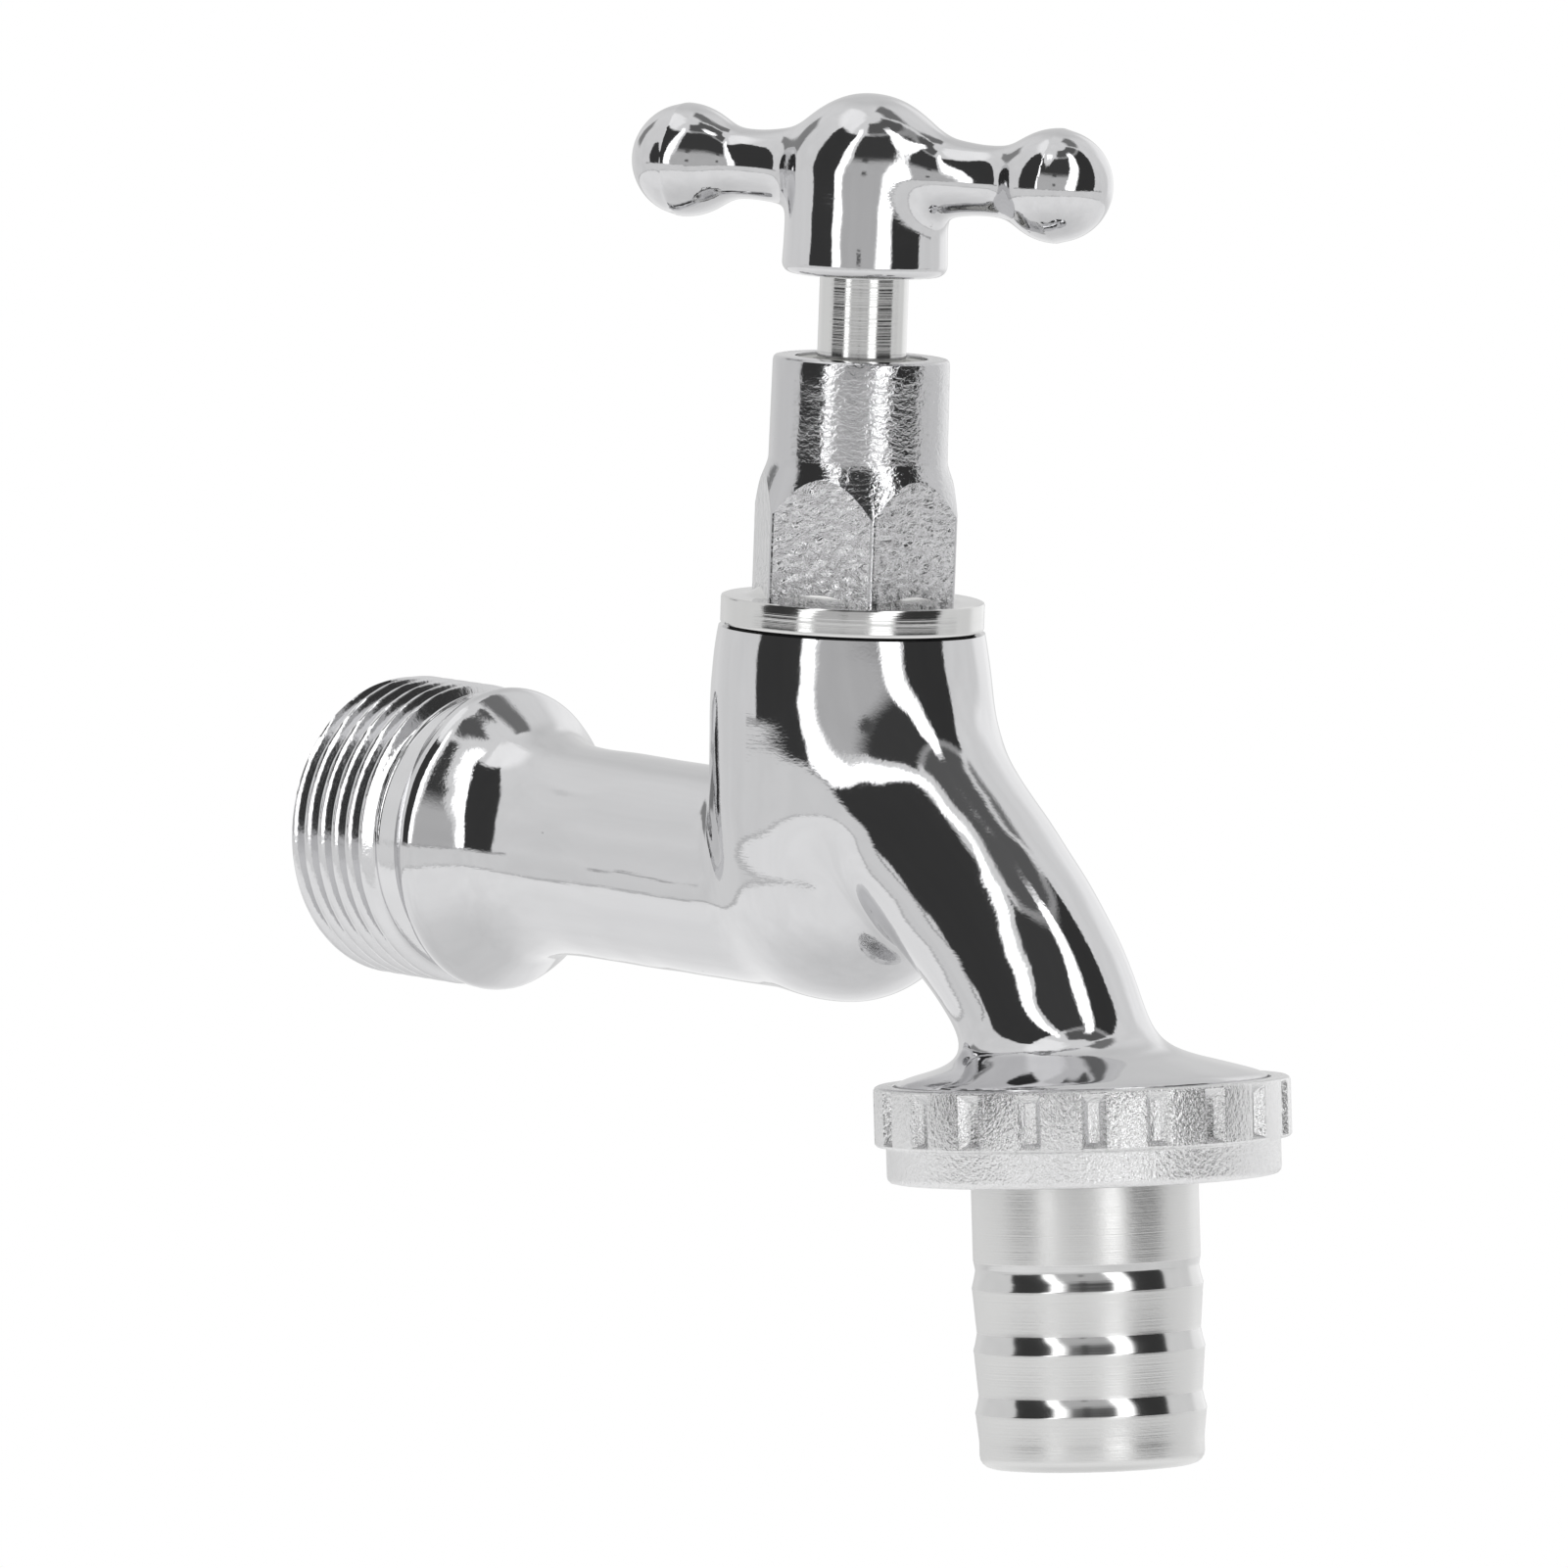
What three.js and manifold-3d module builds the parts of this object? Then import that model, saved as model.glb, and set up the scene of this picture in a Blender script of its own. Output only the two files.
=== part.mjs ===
// Garden tap (hose bib) with a T-bar handle, a rising spindle, a castellated union nut and a barbed hose tail.
// Units are millimetres, +Z up. The origin is the centre of the wall thread's end face, on the wall thread's axis.
// +X runs from the wall outwards along the barrel. The valve stands on a vertical axis at x = VALVE_X.
import * as THREE from "three";
import { mergeVertices } from "three/addons/utils/BufferGeometryUtils.js";
import Module from "manifold-3d";

// ---------- driving dimensions ----------
const THREAD_R = 13.2205; // G 3/4 major radius
const THREAD_ROOT_R = 12.0585; // G 3/4 minor radius
const PITCH = 1.814; // 14 threads per inch
const LAST_CREST_X = 10.42;
const CREST_COUNT = 6;
const COLLAR_X = 13.2;
const COLLAR_R = 13.3;
const COLLAR_SQUASH = 0.905; // the collar's width over its height
const BARREL_R = 9.15;
const INLET_BORE_R = 9.6;
const BARREL_BORE_R = 6.3;

const VALVE_X = 58.06;
const CUP_R = 11.38;
const CUP_TOP_Z = 22.6;
const GASKET_SEAT_Z = 22.15;
const BULB_R = 10.72;
const BULB_Z = 1.61;
const CHAMBER_R = 9.0;
const CHAMBER_FLOOR_Z = 7.7;
const SEAT_TOP_Z = 8.67;
const SEAT_R = 5.6;
const PORT_R = 4.0;

const OUTLET_X = 89.376; // centre of the union nut's lower face
const OUTLET_Z = -21.052;
const OUTLET_TILT = 0.0951; // radians, lower end away from the wall
const SKIRT_R = 15.7;
const SPIGOT_R = 13.2;
const SPIGOT_END_S = 4.75; // s is the height along the outlet axis above the nut's lower face
const SPIGOT_BORE_R = 9.5;

const FLANGE_R = 11.31;
const FLANGE_Z0 = 22.79;
const FLANGE_Z1 = 25.27;
const HEX_AF = 16.05;
const HEX_TOP_Z = 37.2;
const HEX_CORNER_DEG = -33.7;
const BONNET_R = 7.58;
const BONNET_TOP_Z = 45.95;
const STEM_R = 3.81;
const STEM_BORE_R = 4.05;

const HUB_R = 6.915;
const HUB_BOTTOM_Z = 53.0;
const HUB_TOP_Z = 68.5;
const BAR_Z = 61.72;
const BAR_DEG = 22.4; // direction of the bar about the spindle
const BAR_TILT_DEG = 0.3; // the cast bar is not quite square to its hub
const BALL_R = 4.79;
const BALL_OUT = 17.4;
const NECK_R = 3.0;
const SCREW_Z = 56.2;

const NUT_R = 17.63;
const NUT_LOW_R = 16.68;
const NUT_H = 8.2;
const NUT_STEP_S = 3.1;
const NUT_BORE_R = 13.5;
const NUT_HOLE_R = 10.1;
const GROOVES = 20;
const GROOVE_DEG = -40.3;

const TAIL_BORE_R = 7.3;
const TAIL_END_S = -24.3;

const SEG = 30;
const deg = THREE.MathUtils.degToRad;

// ---------- solids ----------
const wasm = await Module();
wasm.setup();

// A closed three.js geometry, moved by a matrix, as a solid that can be joined and cut.
function solid(geometry, matrix) {
  const g = geometry.clone();
  g.deleteAttribute("normal");
  g.deleteAttribute("uv");
  if (matrix) g.applyMatrix4(matrix);
  const m = mergeVertices(g, 1e-4);
  const src = m.index.array;
  const tri = [];
  for (let i = 0; i < src.length; i += 3)
    if (src[i] !== src[i + 1] && src[i + 1] !== src[i + 2] && src[i] !== src[i + 2])
      tri.push(src[i], src[i + 1], src[i + 2]);
  return new wasm.Manifold(
    new wasm.Mesh({
      numProp: 3,
      vertProperties: new Float32Array(m.attributes.position.array),
      triVerts: new Uint32Array(tri),
    }),
  );
}

function geometryOf(s) {
  const m = s.getMesh();
  const g = new THREE.BufferGeometry();
  g.setAttribute("position", new THREE.BufferAttribute(new Float32Array(m.vertProperties), 3));
  g.setIndex(new THREE.BufferAttribute(new Uint32Array(m.triVerts), 1));
  g.computeVertexNormals();
  return g;
}

// A turned solid about +Z. The profile is a list of [radius, height] round the section.
function turned(profile, segments = SEG) {
  const p = profile.map(([r, z]) => [Math.max(r, 0), z]);
  const [f, l] = [p[0], p[p.length - 1]];
  if (f[0] > 0 || l[0] > 0) p.push([f[0], f[1]]);
  let area = 0;
  for (let i = 0; i < p.length; i++) {
    const a = p[i];
    const b = p[(i + 1) % p.length];
    area += a[0] * b[1] - b[0] * a[1];
  }
  if (area < 0) p.reverse();
  const g = new THREE.LatheGeometry(
    p.map(([r, z]) => new THREE.Vector2(r, z)),
    segments,
  );
  g.rotateX(Math.PI / 2);
  const s = solid(g);
  if (s.volume() > 0) return s;
  p.reverse();
  const h = new THREE.LatheGeometry(
    p.map(([r, z]) => new THREE.Vector2(r, z)),
    segments,
  );
  h.rotateX(Math.PI / 2);
  return solid(h);
}

const placed = (s, matrix) => s.transform(matrix.elements);
const at = (x, y, z) => new THREE.Matrix4().makeTranslation(x, y, z);
const aboutZ = (a) => new THREE.Matrix4().makeRotationZ(a);
const alongX = new THREE.Matrix4().makeRotationY(Math.PI / 2); // +Z of a turned solid becomes +X

function cylinder(r, z0, z1, segments = SEG) {
  return turned([[0, z0], [r, z0], [r, z1], [0, z1]], segments);
}

// A tube of changing radius along a curve: a cylinder whose rings are carried onto the curve.
function swept(points, radii, radial = 20, steps = 10) {
  const curve = new THREE.CatmullRomCurve3(points.map(([x, z]) => new THREE.Vector3(x, 0, z)));
  const g = new THREE.CylinderGeometry(1, 1, 1, radial, steps);
  const pos = g.attributes.position;
  for (let i = 0; i < pos.count; i++) {
    const t = Math.min(1, Math.max(0, pos.getY(i) + 0.5));
    const c = curve.getPoint(t);
    const d = curve.getTangent(t);
    const side = new THREE.Vector3(0, 1, 0);
    const up = new THREE.Vector3().crossVectors(side, d);
    const k = t * (radii.length - 1);
    const j = Math.min(radii.length - 2, Math.floor(k));
    const r = radii[j] + (radii[j + 1] - radii[j]) * (k - j);
    const v = c
      .clone()
      .addScaledVector(up, pos.getX(i) * r)
      .addScaledVector(side, pos.getZ(i) * r);
    pos.setXYZ(i, v.x, v.y, v.z);
  }
  const s = solid(g);
  if (s.volume() > 0) return s;
  const index = g.index.array;
  for (let i = 0; i < index.length; i += 3) [index[i + 1], index[i + 2]] = [index[i + 2], index[i + 1]];
  return solid(g);
}

const outletMatrix = new THREE.Matrix4()
  .makeTranslation(OUTLET_X, 0, OUTLET_Z)
  .multiply(new THREE.Matrix4().makeRotationY(-OUTLET_TILT));

// ---------- tap body ----------
function makeBody() {
  // Wall thread as parallel ridges and the plain neck behind it, turned about the X axis.
  const p = [[0, 0], [THREAD_R - 0.85, 0]];
  for (let i = CREST_COUNT - 1; i >= 0; i--) {
    const x = LAST_CREST_X - i * PITCH;
    p.push([THREAD_R, Math.max(x - 0.2, 0.1)], [THREAD_R, x + 0.2], [THREAD_ROOT_R, x + PITCH / 2]);
  }
  p.push([12.35, LAST_CREST_X + 1.2], [12.35, COLLAR_X - 0.1], [11.5, COLLAR_X + 1.0], [0, COLLAR_X + 1.0]);
  let body = placed(turned(p), alongX);

  // Collar and barrel. The cast collar is narrower from side to side than from top to bottom.
  const barrel = turned([
    [0, COLLAR_X - 0.2], [12.3, COLLAR_X - 0.2], [12.9, COLLAR_X], [COLLAR_R, COLLAR_X + 0.6], [COLLAR_R + 0.1, COLLAR_X + 1.2], [13.05, COLLAR_X + 1.9],
    [12.45, 16.0], [11.75, 17.0], [11.1, 18.0], [10.5, 19.0], [10.0, 20.1], [9.55, 21.7], [9.3, 23.2], [BARREL_R, 25.5], [BARREL_R, 30.0], [BARREL_R - 0.03, 36.0], [BARREL_R - 0.1, VALVE_X - 8], [0, VALVE_X],
  ]);
  body = body.add(
    placed(barrel, alongX).warp((v) => {
      const q = [[15.5, COLLAR_SQUASH], [18.5, COLLAR_SQUASH - 0.025], [36, 1]];
      if (v[0] <= q[0][0]) v[1] *= q[0][1];
      else if (v[0] < q[1][0]) v[1] *= q[0][1] + ((v[0] - q[0][0]) / 3) * (q[1][1] - q[0][1]);
      else if (v[0] < q[2][0]) v[1] *= q[1][1] + ((v[0] - q[1][0]) / 17.5) * (1 - q[1][1]);
    }),
  );

  // Valve cup with its round lower end.
  const cup = [[0, BULB_Z - BULB_R]];
  for (let i = 1; i <= 8; i++) {
    const a = (i / 8) * (Math.PI / 2);
    cup.push([BULB_R * Math.sin(a), BULB_Z - BULB_R * Math.cos(a)]);
  }
  cup.push([11.8, 7.7], [11.8, 11.8], [11.55, 15.5], [CUP_R, 18.7], [CUP_R, CUP_TOP_Z], [0, CUP_TOP_Z]);
  body = body.add(placed(turned(cup), at(VALVE_X, 0, 0)));

  // Spout, curving down and outwards from the cup.
  body = body.add(
    swept(
      [[60.5, 13.4], [65.86, 8.91], [71.06, 4.76], [76.4, 0.7], [80.74, -3.25], [83.56, -6.55], [85.33, -9.34], [86.2, -11.5]],
      [9.3, 8.97, 8.61, 8.25, 8.01, 7.83, 7.77, 8.2],
    ),
  );

  // Skirt over the union nut, and the outlet spigot below it.
  const skirt = turned([
    [0, SPIGOT_END_S], [SPIGOT_R - 0.6, SPIGOT_END_S], [SPIGOT_R, SPIGOT_END_S + 0.6], [SPIGOT_R, 7.0], [12.3, 7.3], [12.3, 7.9],
    [SKIRT_R, 7.95], [SKIRT_R, 8.48], [13.47, 9.08], [11.36, 9.75], [9.5, 10.9], [8.3, 12.7], [0, 13.3],
  ]);
  body = body.add(placed(skirt, outletMatrix));

  // Water way: wall bore, barrel bore, seat port, chamber, spout bore and outlet bore.
  body = body.subtract(placed(turned([[0, -1], [INLET_BORE_R, -1], [INLET_BORE_R, 12.6], [BARREL_BORE_R, 16.4], [BARREL_BORE_R, 55.5], [4.4, 60.0], [0, 61.6]]), alongX));
  body = body.subtract(placed(cylinder(PORT_R, 0, 13, 24), at(VALVE_X, 0, 0)));
  body = body.subtract(
    placed(
      turned([
        [0, SEAT_TOP_Z], [SEAT_R, SEAT_TOP_Z], [SEAT_R + 0.3, CHAMBER_FLOOR_Z], [CHAMBER_R - 0.5, CHAMBER_FLOOR_Z],
        [CHAMBER_R, CHAMBER_FLOOR_Z + 0.6], [CHAMBER_R, 14.9], [9.5, 15.5], [9.5, GASKET_SEAT_Z], [10.68, GASKET_SEAT_Z],
        [10.68, CUP_TOP_Z + 1], [0, CUP_TOP_Z + 1],
      ]),
      at(VALVE_X, 0, 0),
    ),
  );
  body = body.subtract(
    swept(
      [[64.0, 13.0], [66.8, 9.2], [71.3, 4.9], [76.4, 0.8], [80.7, -3.2], [83.6, -6.6], [85.5, -9.6], [87.0, -13.4]],
      [4.6, 4.9, 5.2, 5.4, 5.4, 5.4, 5.5, 5.6],
      18,
      9,
    ),
  );
  body = body.subtract(placed(cylinder(SPIGOT_BORE_R, SPIGOT_END_S - 1, 8.6, 32), outletMatrix));
  return body;
}

// ---------- valve, local to the valve axis ----------
function makeBonnet() {
  let s = turned([
    [0, 15.8], [8.8, 15.8], [9.3, 16.3], [9.3, 21.8], [8.4, 22.0], [8.4, FLANGE_Z0], [FLANGE_R, FLANGE_Z0],
    [FLANGE_R, FLANGE_Z1], [0, FLANGE_Z1],
  ]);
  const hex = new THREE.CylinderGeometry(HEX_AF / Math.sqrt(3), HEX_AF / Math.sqrt(3), HEX_TOP_Z - FLANGE_Z1 + 1, 6);
  hex.rotateX(Math.PI / 2);
  hex.rotateZ(deg(90 + HEX_CORNER_DEG));
  hex.translate(0, 0, (HEX_TOP_Z + FLANGE_Z1 - 1) / 2);
  const chamfer = turned([[0, 19], [9.2, 19], [9.2, 32.8], [8.03, 36.0], [BONNET_R - 0.1, HEX_TOP_Z], [0, HEX_TOP_Z]]);
  s = s.add(solid(hex).intersect(chamfer));
  s = s.add(turned([[0, 26], [BONNET_R, 26], [BONNET_R, BONNET_TOP_Z - 0.35], [BONNET_R - 0.35, BONNET_TOP_Z], [0, BONNET_TOP_Z]]));
  // Wide lower bore for the spindle's threaded part, narrow bore for the stem, recess for the gland ring.
  s = s.subtract(
    turned([
      [0, 14.2], [6.15, 14.2], [6.15, 35.7], [STEM_BORE_R, 36.5], [STEM_BORE_R, 44.3], [5.7, 44.3], [5.7, 48], [0, 48],
    ], 32),
  );
  return s;
}

function makeSpindle() {
  return turned([
    [2.15, 17.7], [4.4, 17.7], [4.65, 18.0], [4.65, 24.1], [3.75, 24.4], [3.75, 25.1], [5.45, 25.5], [5.8, 25.9], [5.8, 33.4], [5.2, 33.9],
    [STEM_R, 33.9], [STEM_R, 40.5], [2.7, 40.5], [2.7, 42.1], [STEM_R, 42.1], [STEM_R, 42.5], [2.7, 42.5], [2.7, 44.0],
    [STEM_R, 44.0], [STEM_R, 62.2], [3.2, 63.0], [0, 63.0], [0, 24.5], [2.15, 23.8],
  ], 24);
}

const ring = (rIn, rOut, z0, z1, segments = 28) =>
  turned([[rIn, z0], [rOut, z0], [rOut, z1], [rIn, z1]], segments);

function makeORing(z) {
  const p = [];
  for (let i = 0; i < 8; i++) {
    const a = (i / 8) * 2 * Math.PI + Math.PI / 8;
    p.push([3.4 + 0.58 * Math.cos(a), z + 0.58 * Math.sin(a)]);
  }
  return turned(p, 24);
}

function makeJumper() {
  return turned([
    [0, 11.5], [1.3, 11.5], [1.55, 11.75], [1.55, 15.9], [5.45, 15.9], [5.7, 16.15], [5.7, 17.2], [5.45, 17.45], [1.95, 17.45], [1.95, 23.2], [1.7, 23.4], [0, 23.4],
  ], 20);
}

function makeWasherNut() {
  const g = new THREE.CylinderGeometry(5.4 / Math.sqrt(3), 5.4 / Math.sqrt(3), 1.5, 6);
  g.rotateX(Math.PI / 2);
  g.translate(0, 0, 12.85);
  return solid(g).subtract(cylinder(1.75, 11, 15, 24));
}

// ---------- handle, local to the spindle axis with the bar along X ----------
function makeHandle() {
  const dome = [];
  const zd = HUB_TOP_Z - HUB_R;
  for (let i = 0; i <= 7; i++) {
    const a = (i / 7) * (Math.PI / 2);
    dome.push([HUB_R * Math.cos(a), zd + HUB_R * Math.sin(a)]);
  }
  let s = turned([[0, HUB_BOTTOM_Z], [HUB_R - 0.8, HUB_BOTTOM_Z], [HUB_R - 0.2, HUB_BOTTOM_Z + 0.35], [HUB_R, HUB_BOTTOM_Z + 1.0], ...dome], 24);
  const tilt = at(0, 0, BAR_Z).multiply(new THREE.Matrix4().makeRotationY(deg(BAR_TILT_DEG))).multiply(alongX);
  for (const side of [1, -1]) {
    const flip = side > 0 ? new THREE.Matrix4() : new THREE.Matrix4().makeRotationX(Math.PI);
    const neck = turned([
      [0, 0], [4.4, 0], [4.4, 5.6], [4.0, 6.4], [3.6, 7.2], [3.3, 8.6], [NECK_R + 0.05, 10.0], [NECK_R, 11.4], [NECK_R + 0.1, 12.8], [3.4, 13.9], [3.8, 14.6], [0, 16.0],
    ], 20);
    s = s.add(placed(neck, tilt.clone().multiply(flip)));
    const ball = new THREE.SphereGeometry(BALL_R, 20, 14);
    s = s.add(solid(ball, tilt.clone().multiply(flip).multiply(at(0, 0, BALL_OUT))));
  }
  s = s.subtract(cylinder(4.0, HUB_BOTTOM_Z - 1, 63.4, 32));
  // Threaded hole for the grub screw, square to the bar.
  const hole = cylinder(1.95, 0, 10, 20);
  s = s.subtract(placed(hole, at(0, 0, SCREW_Z).multiply(new THREE.Matrix4().makeRotationX(-Math.PI / 2))));
  return s;
}

function makeScrew() {
  const s = turned([[0, 4.15], [1.2, 4.15], [1.75, 4.6], [1.75, 6.4], [1.55, 6.6], [0, 6.6]], 20);
  const socket = new THREE.CylinderGeometry(0.95, 0.95, 2.6, 6);
  socket.rotateX(Math.PI / 2);
  socket.translate(0, 0, 6.6);
  return placed(s.subtract(solid(socket)), at(0, 0, SCREW_Z).multiply(new THREE.Matrix4().makeRotationX(-Math.PI / 2)));
}

// ---------- outlet, local to the outlet axis ----------
function makeNut() {
  let s = turned([
    [NUT_HOLE_R, 0], [NUT_LOW_R - 0.45, 0], [NUT_LOW_R, 0.45], [NUT_LOW_R, NUT_STEP_S], [NUT_R, NUT_STEP_S + 0.2], [NUT_R, NUT_H - 0.3],
    [NUT_R - 0.3, NUT_H], [16.0, NUT_H], [16.0, NUT_H - 0.6], [15.3, NUT_H - 0.65], [NUT_BORE_R, NUT_H - 1.9], [NUT_BORE_R, 1.3], [NUT_HOLE_R, 1.3],
  ], 32);
  const cut = new THREE.BoxGeometry(2.6, 1.7, 4.15);
  for (let i = 0; i < GROOVES; i++) {
    const m = aboutZ(deg(GROOVE_DEG + (i * 360) / GROOVES)).multiply(at(NUT_LOW_R + 1.4, 0, 5.525));
    s = s.subtract(solid(cut, m));
  }
  return s;
}

function makeTail() {
  return turned([
    [TAIL_BORE_R, 2.75], [12.9, 2.75], [12.9, 1.45], [9.62, 1.45], [9.62, -6.86], [9.46, -7.6], [9.8, -9.1], [9.46, -12.87], [9.8, -14.4],
    [9.46, -18.14], [9.8, -19.64], [9.52, -21.9], [9.52, -23.5], [9.2, -24.05], [8.6, TAIL_END_S], [TAIL_BORE_R, TAIL_END_S],
  ], 32);
}

// ---------- assembly ----------
const chrome = { color: 0xd6d8da, metalness: 1, roughness: 0.08 };
const castChrome = { color: 0xc9cbcc, metalness: 1, roughness: 0.3 };
const satin = { color: 0xbfc1c1, metalness: 1, roughness: 0.28 };
const brass = { color: 0xb8923c, metalness: 1, roughness: 0.3 };
const rubber = { color: 0x1c1c1d, metalness: 0, roughness: 0.75 };
const plastic = { color: 0xe9e8e2, metalness: 0, roughness: 0.45 };
const steel = { color: 0x8d9092, metalness: 1, roughness: 0.35 };

function named(name, s, look) {
  const mesh = new THREE.Mesh(geometryOf(s), new THREE.MeshStandardMaterial(look));
  mesh.name = name;
  return mesh;
}

const tap = new THREE.Group();
tap.add(named("tap_body", makeBody(), chrome));

const valve = new THREE.Group();
valve.position.set(VALVE_X, 0, 0);
tap.add(valve);
valve.add(named("bonnet_gasket", ring(9.85, 10.58, GASKET_SEAT_Z + 0.1, FLANGE_Z0 - 0.1, 32), rubber));
valve.add(named("bonnet", makeBonnet(), castChrome));
valve.add(named("gland_ring", ring(4.02, 5.5, 44.5, 45.7), plastic));
valve.add(named("spindle", makeSpindle(), satin));
valve.add(named("spindle_oring_lower", makeORing(41.3), rubber));
valve.add(named("spindle_oring_upper", makeORing(43.25), rubber));
valve.add(named("jumper", makeJumper(), brass));
valve.add(named("tap_washer", ring(1.75, 5.5, 13.8, 15.75), rubber));
valve.add(named("washer_nut", makeWasherNut(), brass));

const cross = new THREE.Group();
cross.rotation.z = deg(BAR_DEG);
valve.add(cross);
cross.add(named("handle", makeHandle(), chrome));
cross.add(named("handle_screw", makeScrew(), steel));

const outlet = new THREE.Group();
outlet.position.set(OUTLET_X, 0, OUTLET_Z);
outlet.rotation.y = -OUTLET_TILT;
tap.add(outlet);
outlet.add(named("union_nut", makeNut(), castChrome));
outlet.add(named("hose_tail", makeTail(), satin));
outlet.add(named("tail_washer", ring(8.0, 12.9, 2.95, 4.5, 32), rubber));

export default tap;
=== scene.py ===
import math

import bpy
import numpy as np
from mathutils import Matrix, Vector

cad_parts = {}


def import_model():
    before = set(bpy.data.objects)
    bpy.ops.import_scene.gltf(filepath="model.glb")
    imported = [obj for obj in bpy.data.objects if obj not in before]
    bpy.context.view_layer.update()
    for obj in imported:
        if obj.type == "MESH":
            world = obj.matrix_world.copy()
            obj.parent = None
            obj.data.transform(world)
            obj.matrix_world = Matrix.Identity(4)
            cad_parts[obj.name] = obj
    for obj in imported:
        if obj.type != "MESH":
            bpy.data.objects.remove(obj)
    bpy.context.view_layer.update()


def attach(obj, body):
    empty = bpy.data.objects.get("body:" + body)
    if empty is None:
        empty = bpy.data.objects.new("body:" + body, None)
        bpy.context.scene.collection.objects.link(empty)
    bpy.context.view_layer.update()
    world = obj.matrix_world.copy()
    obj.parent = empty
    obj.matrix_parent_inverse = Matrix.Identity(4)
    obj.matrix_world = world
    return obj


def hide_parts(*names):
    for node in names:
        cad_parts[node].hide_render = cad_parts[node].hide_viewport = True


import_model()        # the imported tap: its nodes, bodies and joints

MM = 0.001

# ------------------------------------------------------------------ dimensions, in millimetres, as in the CAD model
THREAD_R, ROOT_R, PITCH, CREST_X = 13.2205, 12.0585, 1.814, 10.42
COLLAR_X, SQUASH = 13.2, 0.905
VX = 58.06                                     # valve axis
CUP_TOP, SEAT_Z = 22.6, 22.15
FL_R, FL_Z0, FL_Z1 = 11.31, 22.79, 25.27
HEX_AF, HEX_TOP, HEX_DEG = 16.05, 35.85, -33.7
BON_R, BON_TOP = 7.58, 45.95
STEM_R = 3.81
HUB_R, HUB_Z0, HUB_Z1 = 6.915, 53.0, 68.5
BAR_Z, BAR_DEG, BAR_TILT = 61.72, 22.4, 0.3
BALL_R, BALL_OUT, SCREW_Z = 4.79, 17.4, 56.2
TAU = 0.0951
OUT = np.array([89.376, 0.0, -21.052])
NUT_R, NUT_LOW_R, NUT_H, NUT_STEP = 17.63, 16.68, 8.2, 3.1
SKIRT_R = 15.7

# ------------------------------------------------------------------ camera and light
CAM_AL, CAM_EL, CAM_ROLL = math.radians(42.565), math.radians(5.906), math.radians(-2.02)


def camera():
    f, s0, aim = 16000.0, 11.942773, 63.0898
    v = np.array([math.cos(CAM_EL) * math.cos(CAM_AL), -math.cos(CAM_EL) * math.sin(CAM_AL), math.sin(CAM_EL)])
    fwd = -v
    right = np.cross(fwd, [0, 0, 1.0])
    right /= np.linalg.norm(right)
    down = np.cross(fwd, right)
    c, s = math.cos(CAM_ROLL), math.sin(CAM_ROLL)
    r = np.array([c * right + s * down, -s * right + c * down, fwd])
    dist = f / s0
    t = np.array([(900.83 - 800.5) / f * dist, (915.95 - 800.5) / f * dist, dist]) - r @ np.array([aim, 0, 0])
    pos = -r.T @ t
    data = bpy.data.cameras.new("camera")
    data.sensor_width = 36.0
    data.lens = f / 1601.0 * 36.0
    data.clip_start, data.clip_end = 0.01, 20.0
    cam = bpy.data.objects.new("camera", data)
    bpy.context.scene.collection.objects.link(cam)
    m = Matrix([[*r[0], 0], [*(-r[1]), 0], [*(-r[2]), 0], [0, 0, 0, 1]]).transposed()
    m = Matrix.Translation(Vector(pos * MM)) @ m
    cam.matrix_world = m
    bpy.context.scene.camera = cam


camera()


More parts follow.
